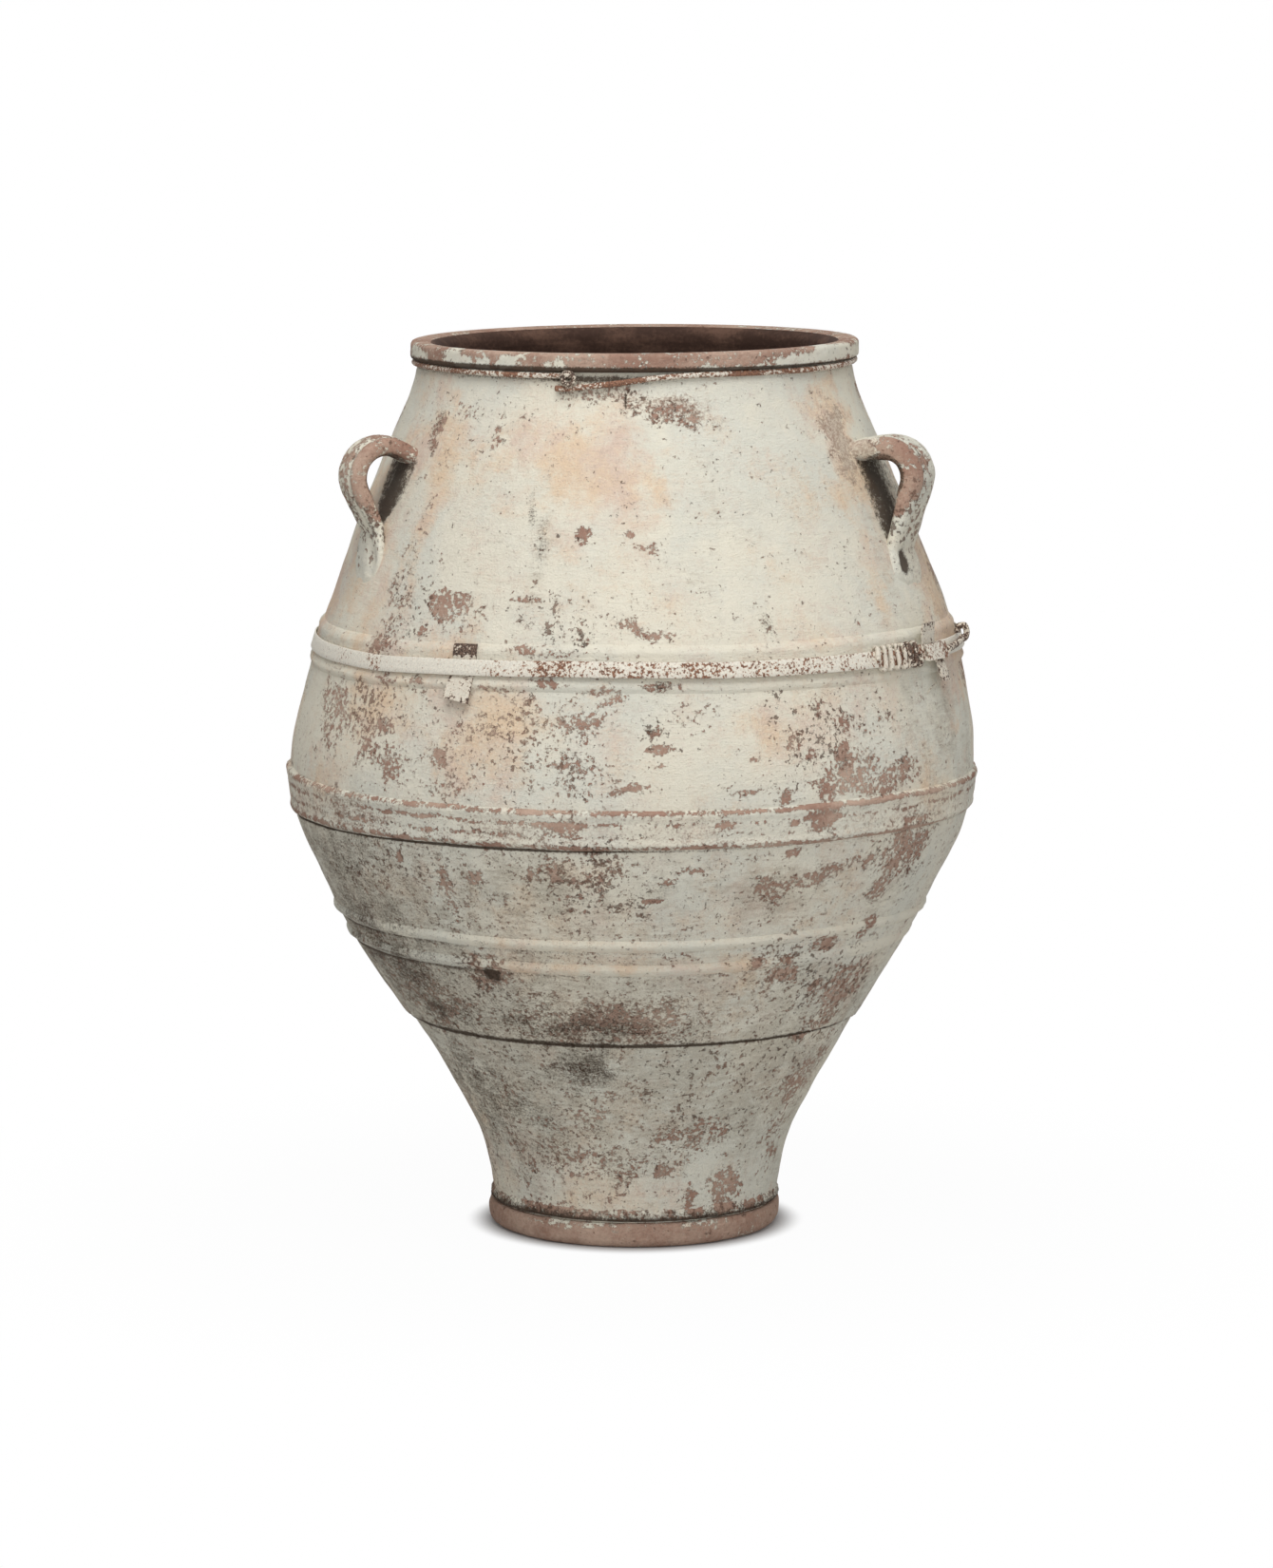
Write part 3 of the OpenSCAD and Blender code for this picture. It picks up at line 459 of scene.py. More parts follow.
def weathered(piece, points, bare=0.0, specks=0.0, dirt=0.0, rubbed=0.0, peach=0.0, grey=0.0):
    """Marks a clay piece with what the patches, its own wear and the painted shade of its lower left give at each
    point.
    """
    turn, z = angle_of(points), points[:, 2]
    # low grows towards the bottom and left towards the left side. The left terms are painted shade on the lower
    # left, where less light falls: they add bare clay, grey, dark and rubbing there. low alone adds bare clay,
    # specks, grey and rubbing towards the bottom.
    low = np.interp(z, [0, 230, 240, 340, 452, 462, 700, 940], [0.5, 0.6, 0.9, 0.85, 0.6, 0.2, 0.02, 0.0])
    left = np.interp(turn, [-180, -120, -90, -60, -10, 20, 120, 180], [0.5, 0.7, 1, 1, 0.5, 0, 0.2, 0.5])
    flaked = spread(points, bare_patches)
    wiped = 0.15 * flaked + 0.55 * spread(points, rub_patches)
    mark(
        piece,
        bare=1.30 * np.tanh(1.25 * flaked) + 0.3 * low + 0.15 * left * (z < 560) + bare,
        specks=spread(points, speck_patches) + 0.26 + 0.05 * low + specks,
        peach=spread(points, peach_patches) + peach,
        grey=spread(points, grey_patches) + low * (0.25 + 0.45 * left) + grey,
        dirt=spread(points, dirt_patches) + 0.36 * low * left + dirt,
        rubbed=low * (0.30 + 0.45 * left) + wiped + rubbed,
    )


def grain(tree, place, size, detail=4.0, rough=0.6, squash=None):
    """Noise with features of the given size in millimetres, squashed along an axis where asked."""
    node = tree.nodes.new("ShaderNodeTexNoise")
    node.inputs["Scale"].default_value = 1000 / size
    node.inputs["Detail"].default_value = detail
    node.inputs["Roughness"].default_value = rough
    if squash:
        stretch = tree.nodes.new("ShaderNodeMapping")
        stretch.inputs["Scale"].default_value = squash
        tree.links.new(place, stretch.inputs["Vector"])
        place = stretch.outputs[0]
    tree.links.new(place, node.inputs["Vector"])
    return node.outputs["Fac"]


def kept(tree, name):
    node = tree.nodes.new("ShaderNodeAttribute")
    node.attribute_name = name
    return node.outputs["Fac"]


def blend(tree, share, first, second):
    """One colour over another."""
    node = tree.nodes.new("ShaderNodeMix")
    node.data_type = "RGBA"
    node.clamp_factor = True
    fill(tree, node.inputs["Factor"], share)
    for socket, value in ((node.inputs["A"], first), (node.inputs["B"], second)):
        fill(tree, socket, value if isinstance(value, bpy.types.NodeSocket) else (*value, 1))
    return node.outputs["Result"]


def weighed(tree, *terms):
    """The sum of outputs, each times its weight."""
    total = 0.0
    for output, weight in terms:
        total = maths(tree, "MULTIPLY_ADD", output, weight, total)
    return total


def shown(tree, low, high, *terms):
    """How much of a layer shows: a weighed sum, nought below low and one above high."""
    return eased_step(tree, weighed(tree, *terms), low, high)


def raised(tree, shader, strength, depth, *terms):
    """Lets a weighed sum stand out of the surface, by about depth in metres."""
    relief = tree.nodes.new("ShaderNodeBump")
    relief.inputs["Strength"].default_value = strength
    relief.inputs["Distance"].default_value = depth
    fill(tree, relief.inputs["Height"], weighed(tree, *terms))
    fill(tree, shader.inputs["Normal"], relief.outputs[0])


warm_white = (0.850, 0.800, 0.665)
mint_white = (0.770, 0.755, 0.655)
peach_wash = (0.830, 0.640, 0.450)
pink_wash = (0.760, 0.600, 0.490)
grey_wash = (0.430, 0.375, 0.288)
fired_pale = (0.590, 0.425, 0.330)
fired_red = (0.365, 0.215, 0.160)
fired_dust = (0.430, 0.335, 0.260)
speck_brown = (0.290, 0.170, 0.120)
speck_dark = (0.120, 0.078, 0.056)
# The brown of dirt and of painted shade.
dirt_brown = (0.070, 0.048, 0.033)


def limewashed(name):
    """Coarse fired clay under a thin pink wash and a white one, each worn through where its mark says."""
    material, tree, shader = started(name)
    place = object_place(tree)
    flakes = grain(tree, place, 20, 14, 0.84, (0.8, 0.8, 1.2))
    chips = grain(tree, place, 5, 6, 0.72)
    veils = grain(tree, place, 60, 12, 0.76, (1.0, 1.0, 0.8))
    fine = grain(tree, place, 2.0, 3, 0.70)
    speckle = grain(tree, place, 5.5, 5, 0.60, (1.1, 0.9, 1.0))
    cloud = grain(tree, place, 70, 5, 0.60)
    drift = grain(tree, place, 130, 5, 0.56, (0.9, 1.1, 1.0))
    streak = grain(tree, place, 22, 8, 0.70, (1, 1, 0.25))
    brushed = grain(tree, place, 14, 8, 0.74, (0.7, 0.7, 3.2))
    bare, specks, peach, grey, dirt, rubbed = (
        kept(tree, mark) for mark in ("bare", "specks", "peach", "grey", "dirt", "rubbed"))

    worn = shown(tree, 2.14, 2.19, (flakes, 1.7), (chips, 1.9), (bare, 0.40))
    scuffed = weighed(tree, (flakes, 1.0), (brushed, 1.4), (fine, 0.9), (chips, 0.8), (rubbed, 0.50))
    scuffed = maths(tree, "MULTIPLY", eased_step(tree, scuffed, 2.42, 2.74), 0.66)
    thin = shown(tree, 1.06, 1.60, (veils, 1.5), (fine, 0.30), (brushed, 0.40), (peach, 0.36))
    cold = shown(tree, 1.36, 1.86, (streak, 0.7), (brushed, 1.2), (cloud, 0.6), (grey, 0.50))
    pale = shown(tree, 0.74, 0.98, (drift, 1.0), (veils, 0.7), (grey, 0.10))
    flecked = shown(tree, 0.935, 0.965, (speckle, 1.0), (flakes, 0.45), (specks, 0.15))
    # The dark layer is partly dirt and partly painted shade: the lines under the bands, step and neck wire, the
    # shadow behind the handles, and the shade on the lower left and inside the handle loops.
    grime_and_shade = shown(tree, 1.08, 1.52, (streak, 0.4), (fine, 0.9), (brushed, 0.6), (dirt, 0.60))

    white = blend(tree, pale, warm_white, mint_white)
    pink = blend(tree, shown(tree, 0.56, 0.86, (cloud, 1.0), (chips, 0.4)), peach_wash, pink_wash)
    wash = blend(tree, thin, white, pink)
    wash = blend(tree, maths(tree, "MULTIPLY", cold, 0.56), wash, grey_wash)
    rub_tone = blend(tree, shown(tree, 0.60, 0.92, (cloud, 1.0), (brushed, 0.5)), fired_dust, fired_red)
    wash = blend(tree, scuffed, wash, rub_tone)
    grainy = shown(tree, 1.06, 1.26, (fine, 0.7), (chips, 0.8), (veils, 0.5), (rubbed, 0.14))
    wash = blend(tree, maths(tree, "MULTIPLY", grainy, 0.36), wash, fired_dust)
    crumbs = shown(tree, -0.74, -0.60, (chips, -1.0), (fine, -0.6), (rubbed, 0.08))
    wash = blend(tree, maths(tree, "MULTIPLY", crumbs, 0.45), wash, warm_white)
    clay_tone = blend(tree, shown(tree, 0.48, 0.82, (cloud, 0.8), (chips, 0.5)), fired_pale, fired_red)
    dusty = shown(tree, 0.54, 0.74, (fine, 0.6), (veils, 0.5), (grey, 0.10))
    clay_tone = blend(tree, maths(tree, "MULTIPLY", dusty, 0.6), clay_tone, fired_dust)
    colour = blend(tree, worn, wash, clay_tone)
    speck_tone = blend(tree, eased_step(tree, cloud, 0.4, 0.62), speck_brown, speck_dark)
    colour = blend(tree, maths(tree, "MULTIPLY", flecked, 0.80), colour, speck_tone)
    colour = blend(tree, maths(tree, "MULTIPLY", grime_and_shade, 0.93), colour, dirt_brown)
    fill(tree, shader.inputs["Base Color"], colour)
    shader.inputs["Roughness"].default_value = 0.92
    shader.inputs["Specular IOR Level"].default_value = 0.15
    raised(tree, shader, 1.0, 0.0014, (worn, -0.45), (fine, 0.8), (chips, 0.9), (brushed, 1.1), (flecked, -0.5))
    return material


clay = limewashed("limewashed clay")

# Inside clay: the bare clay inside the jar, coloured far darker than the bare clay outside, which is partly painted
# shade.
dark_clay, tree, shader = started("inside clay")
place = object_place(tree)
smear = grain(tree, place, 70, 6, 0.6, (1, 1, 2.5))
fine = grain(tree, place, 4, 4, 0.6)
darker_smear = shown(tree, 0.45, 0.72, (smear, 0.8), (fine, 0.3))
inside_clay_and_shade = blend(tree, darker_smear, (0.050, 0.026, 0.018), (0.130, 0.072, 0.050))
fill(tree, shader.inputs["Base Color"], inside_clay_and_shade)
shader.inputs["Roughness"].default_value = 0.85
shader.inputs["Specular IOR Level"].default_value = 0.2
raised(tree, shader, 0.6, 0.001, (fine, 1.0), (smear, 2.0))


def dark_inside(piece, depth):
    """Gives the faces that look into the jar the dark inner finish, which is partly painted shade."""
    piece.data.materials.append(dark_clay)
    faces = piece.data.polygons
    centre, outward = np.empty(len(faces) * 3, np.float32), np.empty(len(faces) * 3, np.float32)
    faces.foreach_get("center", centre)
    faces.foreach_get("normal", outward)
    centre, outward = centre.reshape(-1, 3) / MM, outward.reshape(-1, 3)
    inward = (centre[:, :2] * outward[:, :2]).sum(axis=1) < 0
    deep = np.hypot(centre[:, 0], centre[:, 1]) < wall_radius(np.minimum(centre[:, 2], neck_top)) - depth
    ledge = outward[:, 2] > 0.9
    faces.foreach_set("material_index", ((inward | ledge) & deep).astype(np.int32))


def ragged_step(points):
    """The waist stage's lower edge, torn and pressed over the stage below."""
    moved = thrown(points)
    near = np.clip((252 - points[:, 2]) / 15, 0, 1) * (points[:, 2] < 252)
    outer = np.hypot(points[:, 0], points[:, 1]) > 242
    moved[:, 2] += near * outer * (1.0 * bumps(points, 34, 2) + 0.5 * bumps(points, 7, 4))
    return pushed_out(moved, near * outer * (0.8 * bumps(points, 26, 11)))


# Painted shade lines under the overhangs: under the belly band, the step, the two cordons and the neck wire. A row
# is: height, reach, and the amounts at the given angles; the wall is also pressed in a little along each line.
shade_creases = [
    (457.4, 1.5, (-180, -85, -75, -40, -15, 5, 30, 60, 90, 180), (0.5, 1.2, 1.8, 2.0, 1.4, 0.6, 0.3, 0.4, 0.5, 0.5)),
    (235.2, 2.0, (-180, -90, -60, -20, 20, 50, 90, 180), (1.0, 1.2, 1.6, 1.8, 1.8, 1.5, 1.0, 1.0)),
    (318.0, 2.4, (-180, -90, -60, -30, 0, 30, 60, 180), (0.25, 0.35, 0.35, 0.35, 0.2, 0.2, 0.1, 0.25)),
    (345.0, 2.2, (-180, -90, -60, -30, 0, 30, 60, 180), (0.25, 0.3, 0.3, 0.25, 0.15, 0.15, 0.2, 0.25)),
    (933.6, 1.6, (-180, -90, -20, -16, 5, 90, 180), (0.8, 1.2, 1.3, 0.5, 0.5, 0.8, 0.8)),
]
for name, radius_at, low, high, shaping, close in (
    ("lower_wall", lower_radius, slab_top, step_level, thrown, np.arange(228, 237, 1.0)),
    ("waist_wall", upper_radius, step_level, cordon_level, ragged_step, np.arange(314, 322, 1.0)),
    (
        "belly_wall", upper_radius, cordon_level, belly_level, thrown,
        (*np.arange(341, 349, 1.0), *np.arange(453, 461, 0.8)),
    ),
    ("body_wall", upper_radius, belly_level, band_level, thrown, ()),
    ("shoulder_wall", upper_radius, band_level, neck_top, thrown, ()),
):
    crease_shades = []

    def shaped(flat):
        crease_and_shade = np.zeros(len(flat))
        for height, reach, angles, amounts in shade_creases:
            crease_and_shade += np.exp(-(((flat[:, 2] - height) / reach) ** 2)) * np.interp(angle_of(flat), angles, amounts)
        crease_shades.append(crease_and_shade)
        return pushed_out(shaping(flat), -0.9 * crease_and_shade)

    shape = spun(stage_section(radius_at, low, high, close))
    piece, points = finished(shape, name, "limewashed_terracotta", clay, shaped)
    # The walls' dark mark here is painted shade: the lines under the overhangs and the shadow behind the handles.
    weathered(piece, points, dirt=crease_shades[0] + shadow_behind_handles(points))
    dark_inside(piece, 10)

# Clay bands: two thin cordons at the waist, the flat belly band and the double-ridged shoulder band.
# Each is a roll of soft clay pressed over the wall and wiped along its edges with wet fingers.


def pressed(line, sink=3.0):
    """A band's closed section from a line of [height, distance out from the wall]."""
    heights = np.array([z for z, out in line], float)
    fine_heights = np.linspace(heights[0], heights[-1], round((heights[-1] - heights[0]) / 1.6) + 1)
    out = np.interp(fine_heights, heights, [out for z, out in line])
    out[1:-1] = (out[:-2] + 2 * out[1:-1] + out[2:]) / 4
    outer = list(zip(wall_radius(fine_heights) + out, fine_heights))
    back = [(wall_at(z) - sink, z) for z in np.linspace(heights[-1], heights[0], 4)]
    return outer + back


every_way = (-180, -80, -50, -20, 10, 30, 60, 85, 180)


def band(name, line, wobble, fade=((0,), (1,)), bare_at=(), bare_more=0.0, rubbed=0.0, grey=0.0):
    """Makes one band. It wobbles up and down, and fade gives its height off the wall at each angle.

    A row of bare_at is [height, reach, strength, shares every way] of the clay that shows along a ridge.
    """
    def shaping(points):
        wall = wall_radius(points[:, 2])
        out = np.hypot(points[:, 0], points[:, 1]) - wall
        strength = np.interp(angle_of(points), fade[0], fade[1])
        lump = 1 + 0.16 * bumps(points, 30, 7) + 0.1 * bumps(points, 11, 3)
        change = np.where(out > -0.5, out * (strength * lump - 1), 0)
        moved = pushed_out(thrown(points), change)
        moved[:, 2] += wobble * (bumps(points, 90, 13) + 0.35 * bumps(points, 22, 17))
        return moved

    piece, points = finished(spun(pressed(line)), name, "limewashed_terracotta", clay, shaping)
    bare = bare_more + np.zeros(len(points))
    for height, reach, strength, amounts in bare_at:
        ridge = np.clip(1.5 - np.abs(points[:, 2] - height + 1.5 * bumps(points, 30, 21)) / reach, 0, 1)
        worn_here = np.interp(angle_of(points), every_way, amounts) * (0.9 + 0.5 * bumps(points, 24, 8))
        bare = bare + strength * ridge * worn_here
    weathered(piece, points, bare, rubbed=rubbed, grey=grey)


# The cordons' negative amounts keep them whiter than the wall: partly wash left on their ridges, partly painted
# highlight along them.
for name, middle, angles, heights_off in (
    ("lower_cordon", 325.5, (-180, 20, 40, 60, 90, 180), (1, 1, 0.75, 0.25, 0.5, 1)),
    ("upper_cordon", 352.5, (-180, 30, 50, 70, 90, 180), (1, 1, 0.9, 0.75, 0.8, 1)),
):
    line = [
        (middle - 6.5, 0.0), (middle - 5, 1.2), (middle - 3, 3.6), (middle - 1, 4.4), (middle + 1, 4.2),
        (middle + 3, 2.8), (middle + 5, 1.0), (middle + 6.5, 0.0),
    ]
    band(name, line, 0.9, (angles, heights_off), bare_more=-0.3, rubbed=-0.7, grey=-0.9)

belly_line = [
    (458.5, 0.0), (459.5, 2.8), (461.5, 4.2), (464, 4.6), (466.5, 4.0), (469, 3.0), (480, 2.9), (489, 3.0),
    (492, 3.8), (495, 4.6), (498, 4.2), (500, 2.4), (501.5, 0.0),
]
band(
    "belly_band", belly_line, 0.9, bare_more=0.1, rubbed=0.45,
    bare_at=(
        (499, 2.6, 1.25, (0.6, 0.5, 0.6, 0.9, 0.9, 1.1, 1.1, 0.8, 0.6)),
        (462, 3.0, 1.15, (0.6, 0.7, 0.8, 0.9, 1.0, 1.1, 1.0, 0.6, 0.5)),
        (487, 2.4, 1.0, (0.5, 0.7, 0.9, 1.0, 0.5, 0.4, 1.0, 0.6, 0.5)),
        (474, 2.2, 0.8, (0.5, 0.6, 0.8, 0.9, 0.7, 0.6, 0.4, 0.5, 0.5)),
    ),
)

shoulder_line = [
    (618, 0.0), (620, 1.4), (623, 3.2), (625.5, 3.6), (628, 3.0), (631.5, 2.0), (642, 2.0), (652.5, 2.0),
    (656, 3.0), (658.5, 3.6), (661, 3.2), (664, 1.4), (666, 0.0),
]
band("shoulder_band", shoulder_line, 0.7, bare_more=-0.04)

# Foot: a thick bare disc of clay that the jar stands on, and a crumbly roll of clay in the corner above it.
# A dark crack runs between the two, and the disc's edges are chipped.


def chipped(points):
    """Rubbed and chipped edges of the disc."""
    edge = np.clip((np.hypot(points[:, 0], points[:, 1]) - 140) / 10, 0, 1)
    chips = np.clip(bumps(points, 9, 31) - 0.35, 0, 1) * 3.0 + np.clip(bumps(points, 26, 33) - 0.3, 0, 1) * 2.2
    moved = pushed_out(points, edge * (0.9 * bumps(points, 60, 30) + 0.3 * bumps(points, 12, 2) - chips * 0.55))
    top = (points[:, 2] > 24) & (edge > 0.5)
    moved[:, 2] += np.where(top, 0.7 * bumps(points, 20, 12) - 0.4 * chips, 0)
    return moved


def rounded_corner(centre_r, centre_z, radius, start, end, steps):
    return [
        (centre_r + radius * math.cos(math.radians(a)), centre_z + radius * math.sin(math.radians(a)))
        for a in np.linspace(start, end, steps)
    ]


slab = (
    [(2, 0), (60, 0), (110, 0), (135, 0)] + rounded_corner(146, 12, 12, -90, 0, 9)
    + [(158.3, 15), (158.4, 18), (158.2, 21), (157.6, 23.6), (156.2, 25.6), (154, 26.6), (151, slab_top)]
    + [(130, slab_top), (60, slab_top), (2, slab_top)]
)
slab_shape = spun(slab, steps=480, solid=True)
piece, points = finished(slab_shape, "foot_slab", "bare_terracotta", clay, chipped)
slab_wash = spread(points, [(-35, 23, 60, 6, 0.9), (-8, 25, 40, 3, 0.6), (30, 26, 50, 3, 0.6)])
weathered(piece, points, bare=1.55 + 0.4 * bumps(points, 30, 6) - slab_wash, specks=0.1)


def crumbly(points):
    """The roll's torn, pressed and crumbled face."""
    out = np.clip((np.hypot(points[:, 0], points[:, 1]) - 151.5) / 3, 0, 1)
    return pushed_out(
        points, out * (1.1 * bumps(points, 16, 1) + 0.9 * bumps(points, 6, 3) + 0.6 * bumps(points, 3, 5) - 0.4)
    )


roll = [
    (149, 28.6), (153, 28.4), (155.5, 29.0), (156.6, 30.5), (157, 32.5), (156.8, 34.5), (156.2, 36.5),
    (155.6, 38.5), (154.9, 40.5), (154.2, 42), (153.6, 43), (150.5, 43), (149, 36),
]
piece, points = finished(spun(roll, steps=900), "foot_fillet", "bare_terracotta", clay, crumbly)
weathered(
    piece, points, bare=0.65 + 0.6 * bumps(points, 18, 6),
    specks=0.5, dirt=np.interp(points[:, 2], [29, 33, 43], [1.3, 0.6, 0.0]),
)

# Lip: the mouth's thickened edge, of bare clay rubbed smooth by lids.
# Scraps of limewash are left on its outer face, and painted shade lies under it.
lip = (
    [(209, 941), (214, 940.4), (226, 940.4), (232, 940.2), (235.5, 940.8)]
    + rounded_corner(235.4, 945.0, 4.2, -62, 0, 5)
    + [(239.7, 948), (239.5, 951), (239.4, 954)]
    + rounded_corner(235.2, 955.6, 4.2, 10, 90, 6)
    + [(232, 960), (228.5, 960), (225, 959.8), (221.5, 959.2), (218, 957.8), (214.5, 955.6), (211.5, 953)]
    + [(209.6, 950), (208.8, 946)]
)


def rubbed_lip(points):
    return pushed_out(points, 1.1 * bumps(points, 150) + 0.55 * bumps(points, 38, 4) + 0.3 * bumps(points, 9, 2))


piece, points = finished(spun(lip), "rim_lip", "bare_terracotta", clay, rubbed_lip)
lip_wash = spread(points, [
    (-53, 949, 15, 8, 1.4), (-48, 945, 12, 7, 1.4), (-40, 947, 13, 7, 1.3), (-33, 948, 12, 7, 1.3),
    (-20, 944, 14, 6, 0.9), (22, 942, 40, 3, 1.0), (45, 947, 46, 7, 1.5, 0.05), (62, 952, 40, 9, 1.9),
    (80, 950, 40, 8, 1.4), (-75, 948, 40, 6, 1.2), (120, 946, 60, 6, 1.2), (-130, 946, 60, 6, 1.2),
    (170, 948, 40, 5, 1.2),
])
# Painted shade along the lip's lower outer edge, under its overhang.
lip_dirt = np.interp(points[:, 2], [940, 942.5, 944], [1.3, 1.0, 0.0])
lip_dirt *= np.hypot(points[:, 0], points[:, 1]) > 225
weathered(piece, points, bare=1.36 + 0.30 * bumps(points, 24, 3) - lip_wash, specks=0.15, dirt=lip_dirt)
dark_inside(piece, 14)

# Handles: three thick straps of clay, bent over into a loop, luted to the shoulder and smeared down it.
# A thumb mark is pressed into the foot of each one.
loop_height, loop_stand, loop_size = 822, 19, 44
root_depth = 15
loop_centre = wall_at(loop_height) + loop_stand
tail_end = 700


def handle_stations(wide, thick, bend, run, landing, drop):
    """Stations of a strap in its own plane: [out, up, heading, width, thickness], root first."""
    rows = []
    middle = loop_size - thick / 2
    for t in np.linspace(0, 1, 16):
        out, up = loop_centre - 52 + 50 * t, loop_height + middle - drop * (1 - t) ** 1.6
        if out > wall_at(up) - root_depth:
            rows.append((out, up, 1.4 * drop * (1 - t), wide + 20 * (1 - t) ** 1.5, thick - 5 + 5 * t))
    for angle in np.linspace(86, -bend, 40):
        turn = math.radians(angle)
        out, up = loop_centre + middle * math.cos(turn), loop_height + middle * math.sin(turn)
        rows.append((out, up, angle - 90, wide, thick))
    last_out, last_up = rows[-1][:2]
    lean = math.radians(bend)
    for t in np.linspace(0.05, 1, 16):
        out, up = last_out - run * t * math.sin(lean), last_up - run * t * math.cos(lean)
        rows.append((out, up, -90 - bend, wide + 6 * t, thick + (landing - thick) * t))
    joined_out, joined_up = rows[-1][:2]
    stand = joined_out - wall_at(joined_up)
    for t in np.linspace(0.05, 1, 26):
        up = joined_up + (tail_end - joined_up) * t
        out = wall_at(up) + stand * (1 - t) ** 1.6 - 8.5 * t
        spread_out = 6 + 10 * math.sin(math.pi * min(1, t * 1.15)) - 22 * max(0, t - 0.6)
        rows.append((out, up, (1 - t) * (-90 - bend) - 70 * t, wide + spread_out, landing * (1 - t) + 12 * t))
    return rows


def handle_shape(*sizes):
    """A closed ring of points, extruded along the stations, with both ends closed inside the wall."""
    shape = bmesh.new()
    slots = shape.verts.layers.int.new("place_in_ring")
    around = 56
    rows = handle_stations(*sizes)

    def put(vert, row):
        out, up, heading, width, thick = row
        turn = 2 * math.pi * vert[slots] / around
        c, s = math.cos(turn), math.sin(turn)
        flat = math.copysign(abs(c) ** 0.62, c) * width / 2
        deep = math.copysign(abs(s) ** 0.75, s) * thick / 2
        lean = math.radians(heading)
        vert.co = (flat, deep * math.sin(lean) - out, up + deep * math.cos(lean))

    ring = []
    for i in range(around):
        vert = shape.verts.new((0, 0, 0))
        vert[slots] = i
        put(vert, rows[0])
        ring.append(vert)
    edges = [shape.edges.new((ring[i - 1], ring[i])) for i in range(around)]
    shape.faces.new(ring)
    for row in rows[1:]:
        grown = bmesh.ops.extrude_edge_only(shape, edges=edges)["geom"]
        edges = [e for e in grown if isinstance(e, bmesh.types.BMEdge) and all(v in grown for v in e.verts)]
        for vert in (v for v in grown if isinstance(v, bmesh.types.BMVert)):
            put(vert, row)
    bmesh.ops.edgeloop_fill(shape, edges=edges)
    bmesh.ops.recalc_face_normals(shape, faces=shape.faces)
    return shape


for name, angle, sizes, near_side, root_bare, loop_bare, tail_bare, outer_wash, thumb in (
    ("handle_left", -65, (45, 22, 25, 46, 15, 30), 1, 1.0, 1.45, 0.1, 0.55, (17, 738, 8, 13, 4.0, 0.25)),
    ("handle_right", 66.5, (58, 27, 16, 70, 17, 8), -1, -0.1, 1.5, 0.15, 1.0, (-14, 733, 8, 12, 3.2, 1.6)),
    ("handle_back", 180, (48, 23, 22, 50, 17, 12), 1, 0.1, 1.4, 0.1, 0.8, (0, 738, 6, 13, 5.0, 0.8)),
):
    turn = math.radians(angle)
    cos_turn, sin_turn = math.cos(turn), math.sin(turn)
    thumb_across, thumb_up, thumb_wide, thumb_high, thumb_deep, thumb_dark = thumb

    def thumbed(across, up):
        return np.exp(-(((across - thumb_across) / thumb_wide) ** 2) - (((up - thumb_up) / thumb_high) ** 2))

    def luted(points):
        """Grooves, a thumb mark and lumps, then the turn to the handle's place."""
        across, out, up = points[:, 0].copy(), -points[:, 1].copy(), points[:, 2].copy()
        from_centre = np.hypot(out - loop_centre, up - loop_height)
        outer_face = np.clip((from_centre - 36) / 6, 0, 1) * (np.abs(across) < 24)
        groove = outer_face * (
            2.2 * np.exp(-(((across * near_side - 12) / 3.0) ** 2))
            + 1.4 * np.exp(-(((across * near_side + 3) / 4.0) ** 2))
        )
        outer_half = out > upper_radius(np.clip(up, 640, 900))
        from_thumb = np.hypot((across - thumb_across) / thumb_wide, (up - thumb_up) / thumb_high)
        rim = 0.28 * thumb_deep * np.exp(-((from_thumb - 1.9) ** 2) * 3)
        out += (rim - thumb_deep * thumbed(across, up)) * outer_half
        shrink = groove / np.maximum(from_centre, 1)
        out, up = out - (out - loop_centre) * shrink, up - (up - loop_height) * shrink
        placed = np.stack([across * cos_turn + out * sin_turn, across * sin_turn - out * cos_turn, up], axis=1)
        lump = 0.8 * bumps(placed, 22, 3) + 0.35 * bumps(placed, 8, 1)
        return pushed_out(placed, lump)

    piece, points = finished(handle_shape(*sizes), name, "bare_terracotta", clay, luted)
    across = points[:, 0] * cos_turn + points[:, 1] * sin_turn
    out, up = points[:, 0] * sin_turn - points[:, 1] * cos_turn, points[:, 2]
    on_root = np.clip((loop_centre - 2 - out + 5 * bumps(points, 12, 8)) / 16, 0, 1) * (up > 830)
    on_tail = np.clip((812 + 20 * bumps(points, 18, 8) - up) / 70, 0, 1)
    bare = loop_bare * (1 - on_root) * (1 - on_tail) + root_bare * on_root + tail_bare * on_tail
    from_centre = np.hypot(out - loop_centre, up - loop_height)
    outer_face = np.clip((from_centre - 40.6 - 0.17 * near_side * across + 1.5 * bumps(points, 14, 5)) / 3.5, 0, 1)
    in_groove = np.exp(-(((across * near_side - 12 + 2 * bumps(points, 20, 6)) / 2.2) ** 2)) * (from_centre > 30)
    # Painted shade on the inside of the loop, round the finger hole.
    gap = np.clip((28 - from_centre) / 3, 0, 1) * (up > 765)
    weathered(
        piece, points, bare=bare - outer_wash * outer_face - 1.1 * in_groove + 0.35 * bumps(points, 12, 4),
        specks=0.25 + 3.2 * on_tail * (1 - on_tail), dirt=0.8 * gap + thumb_dark * thumbed(across, up),
        peach=-1.5, grey=-0.3,
    )

# Neck wire: thick iron wire tied round the neck under the lip, painted white with the jar and rusting through.
# One end is curled into an eye, and the other sags, passes under the eye and ends in a short tail.


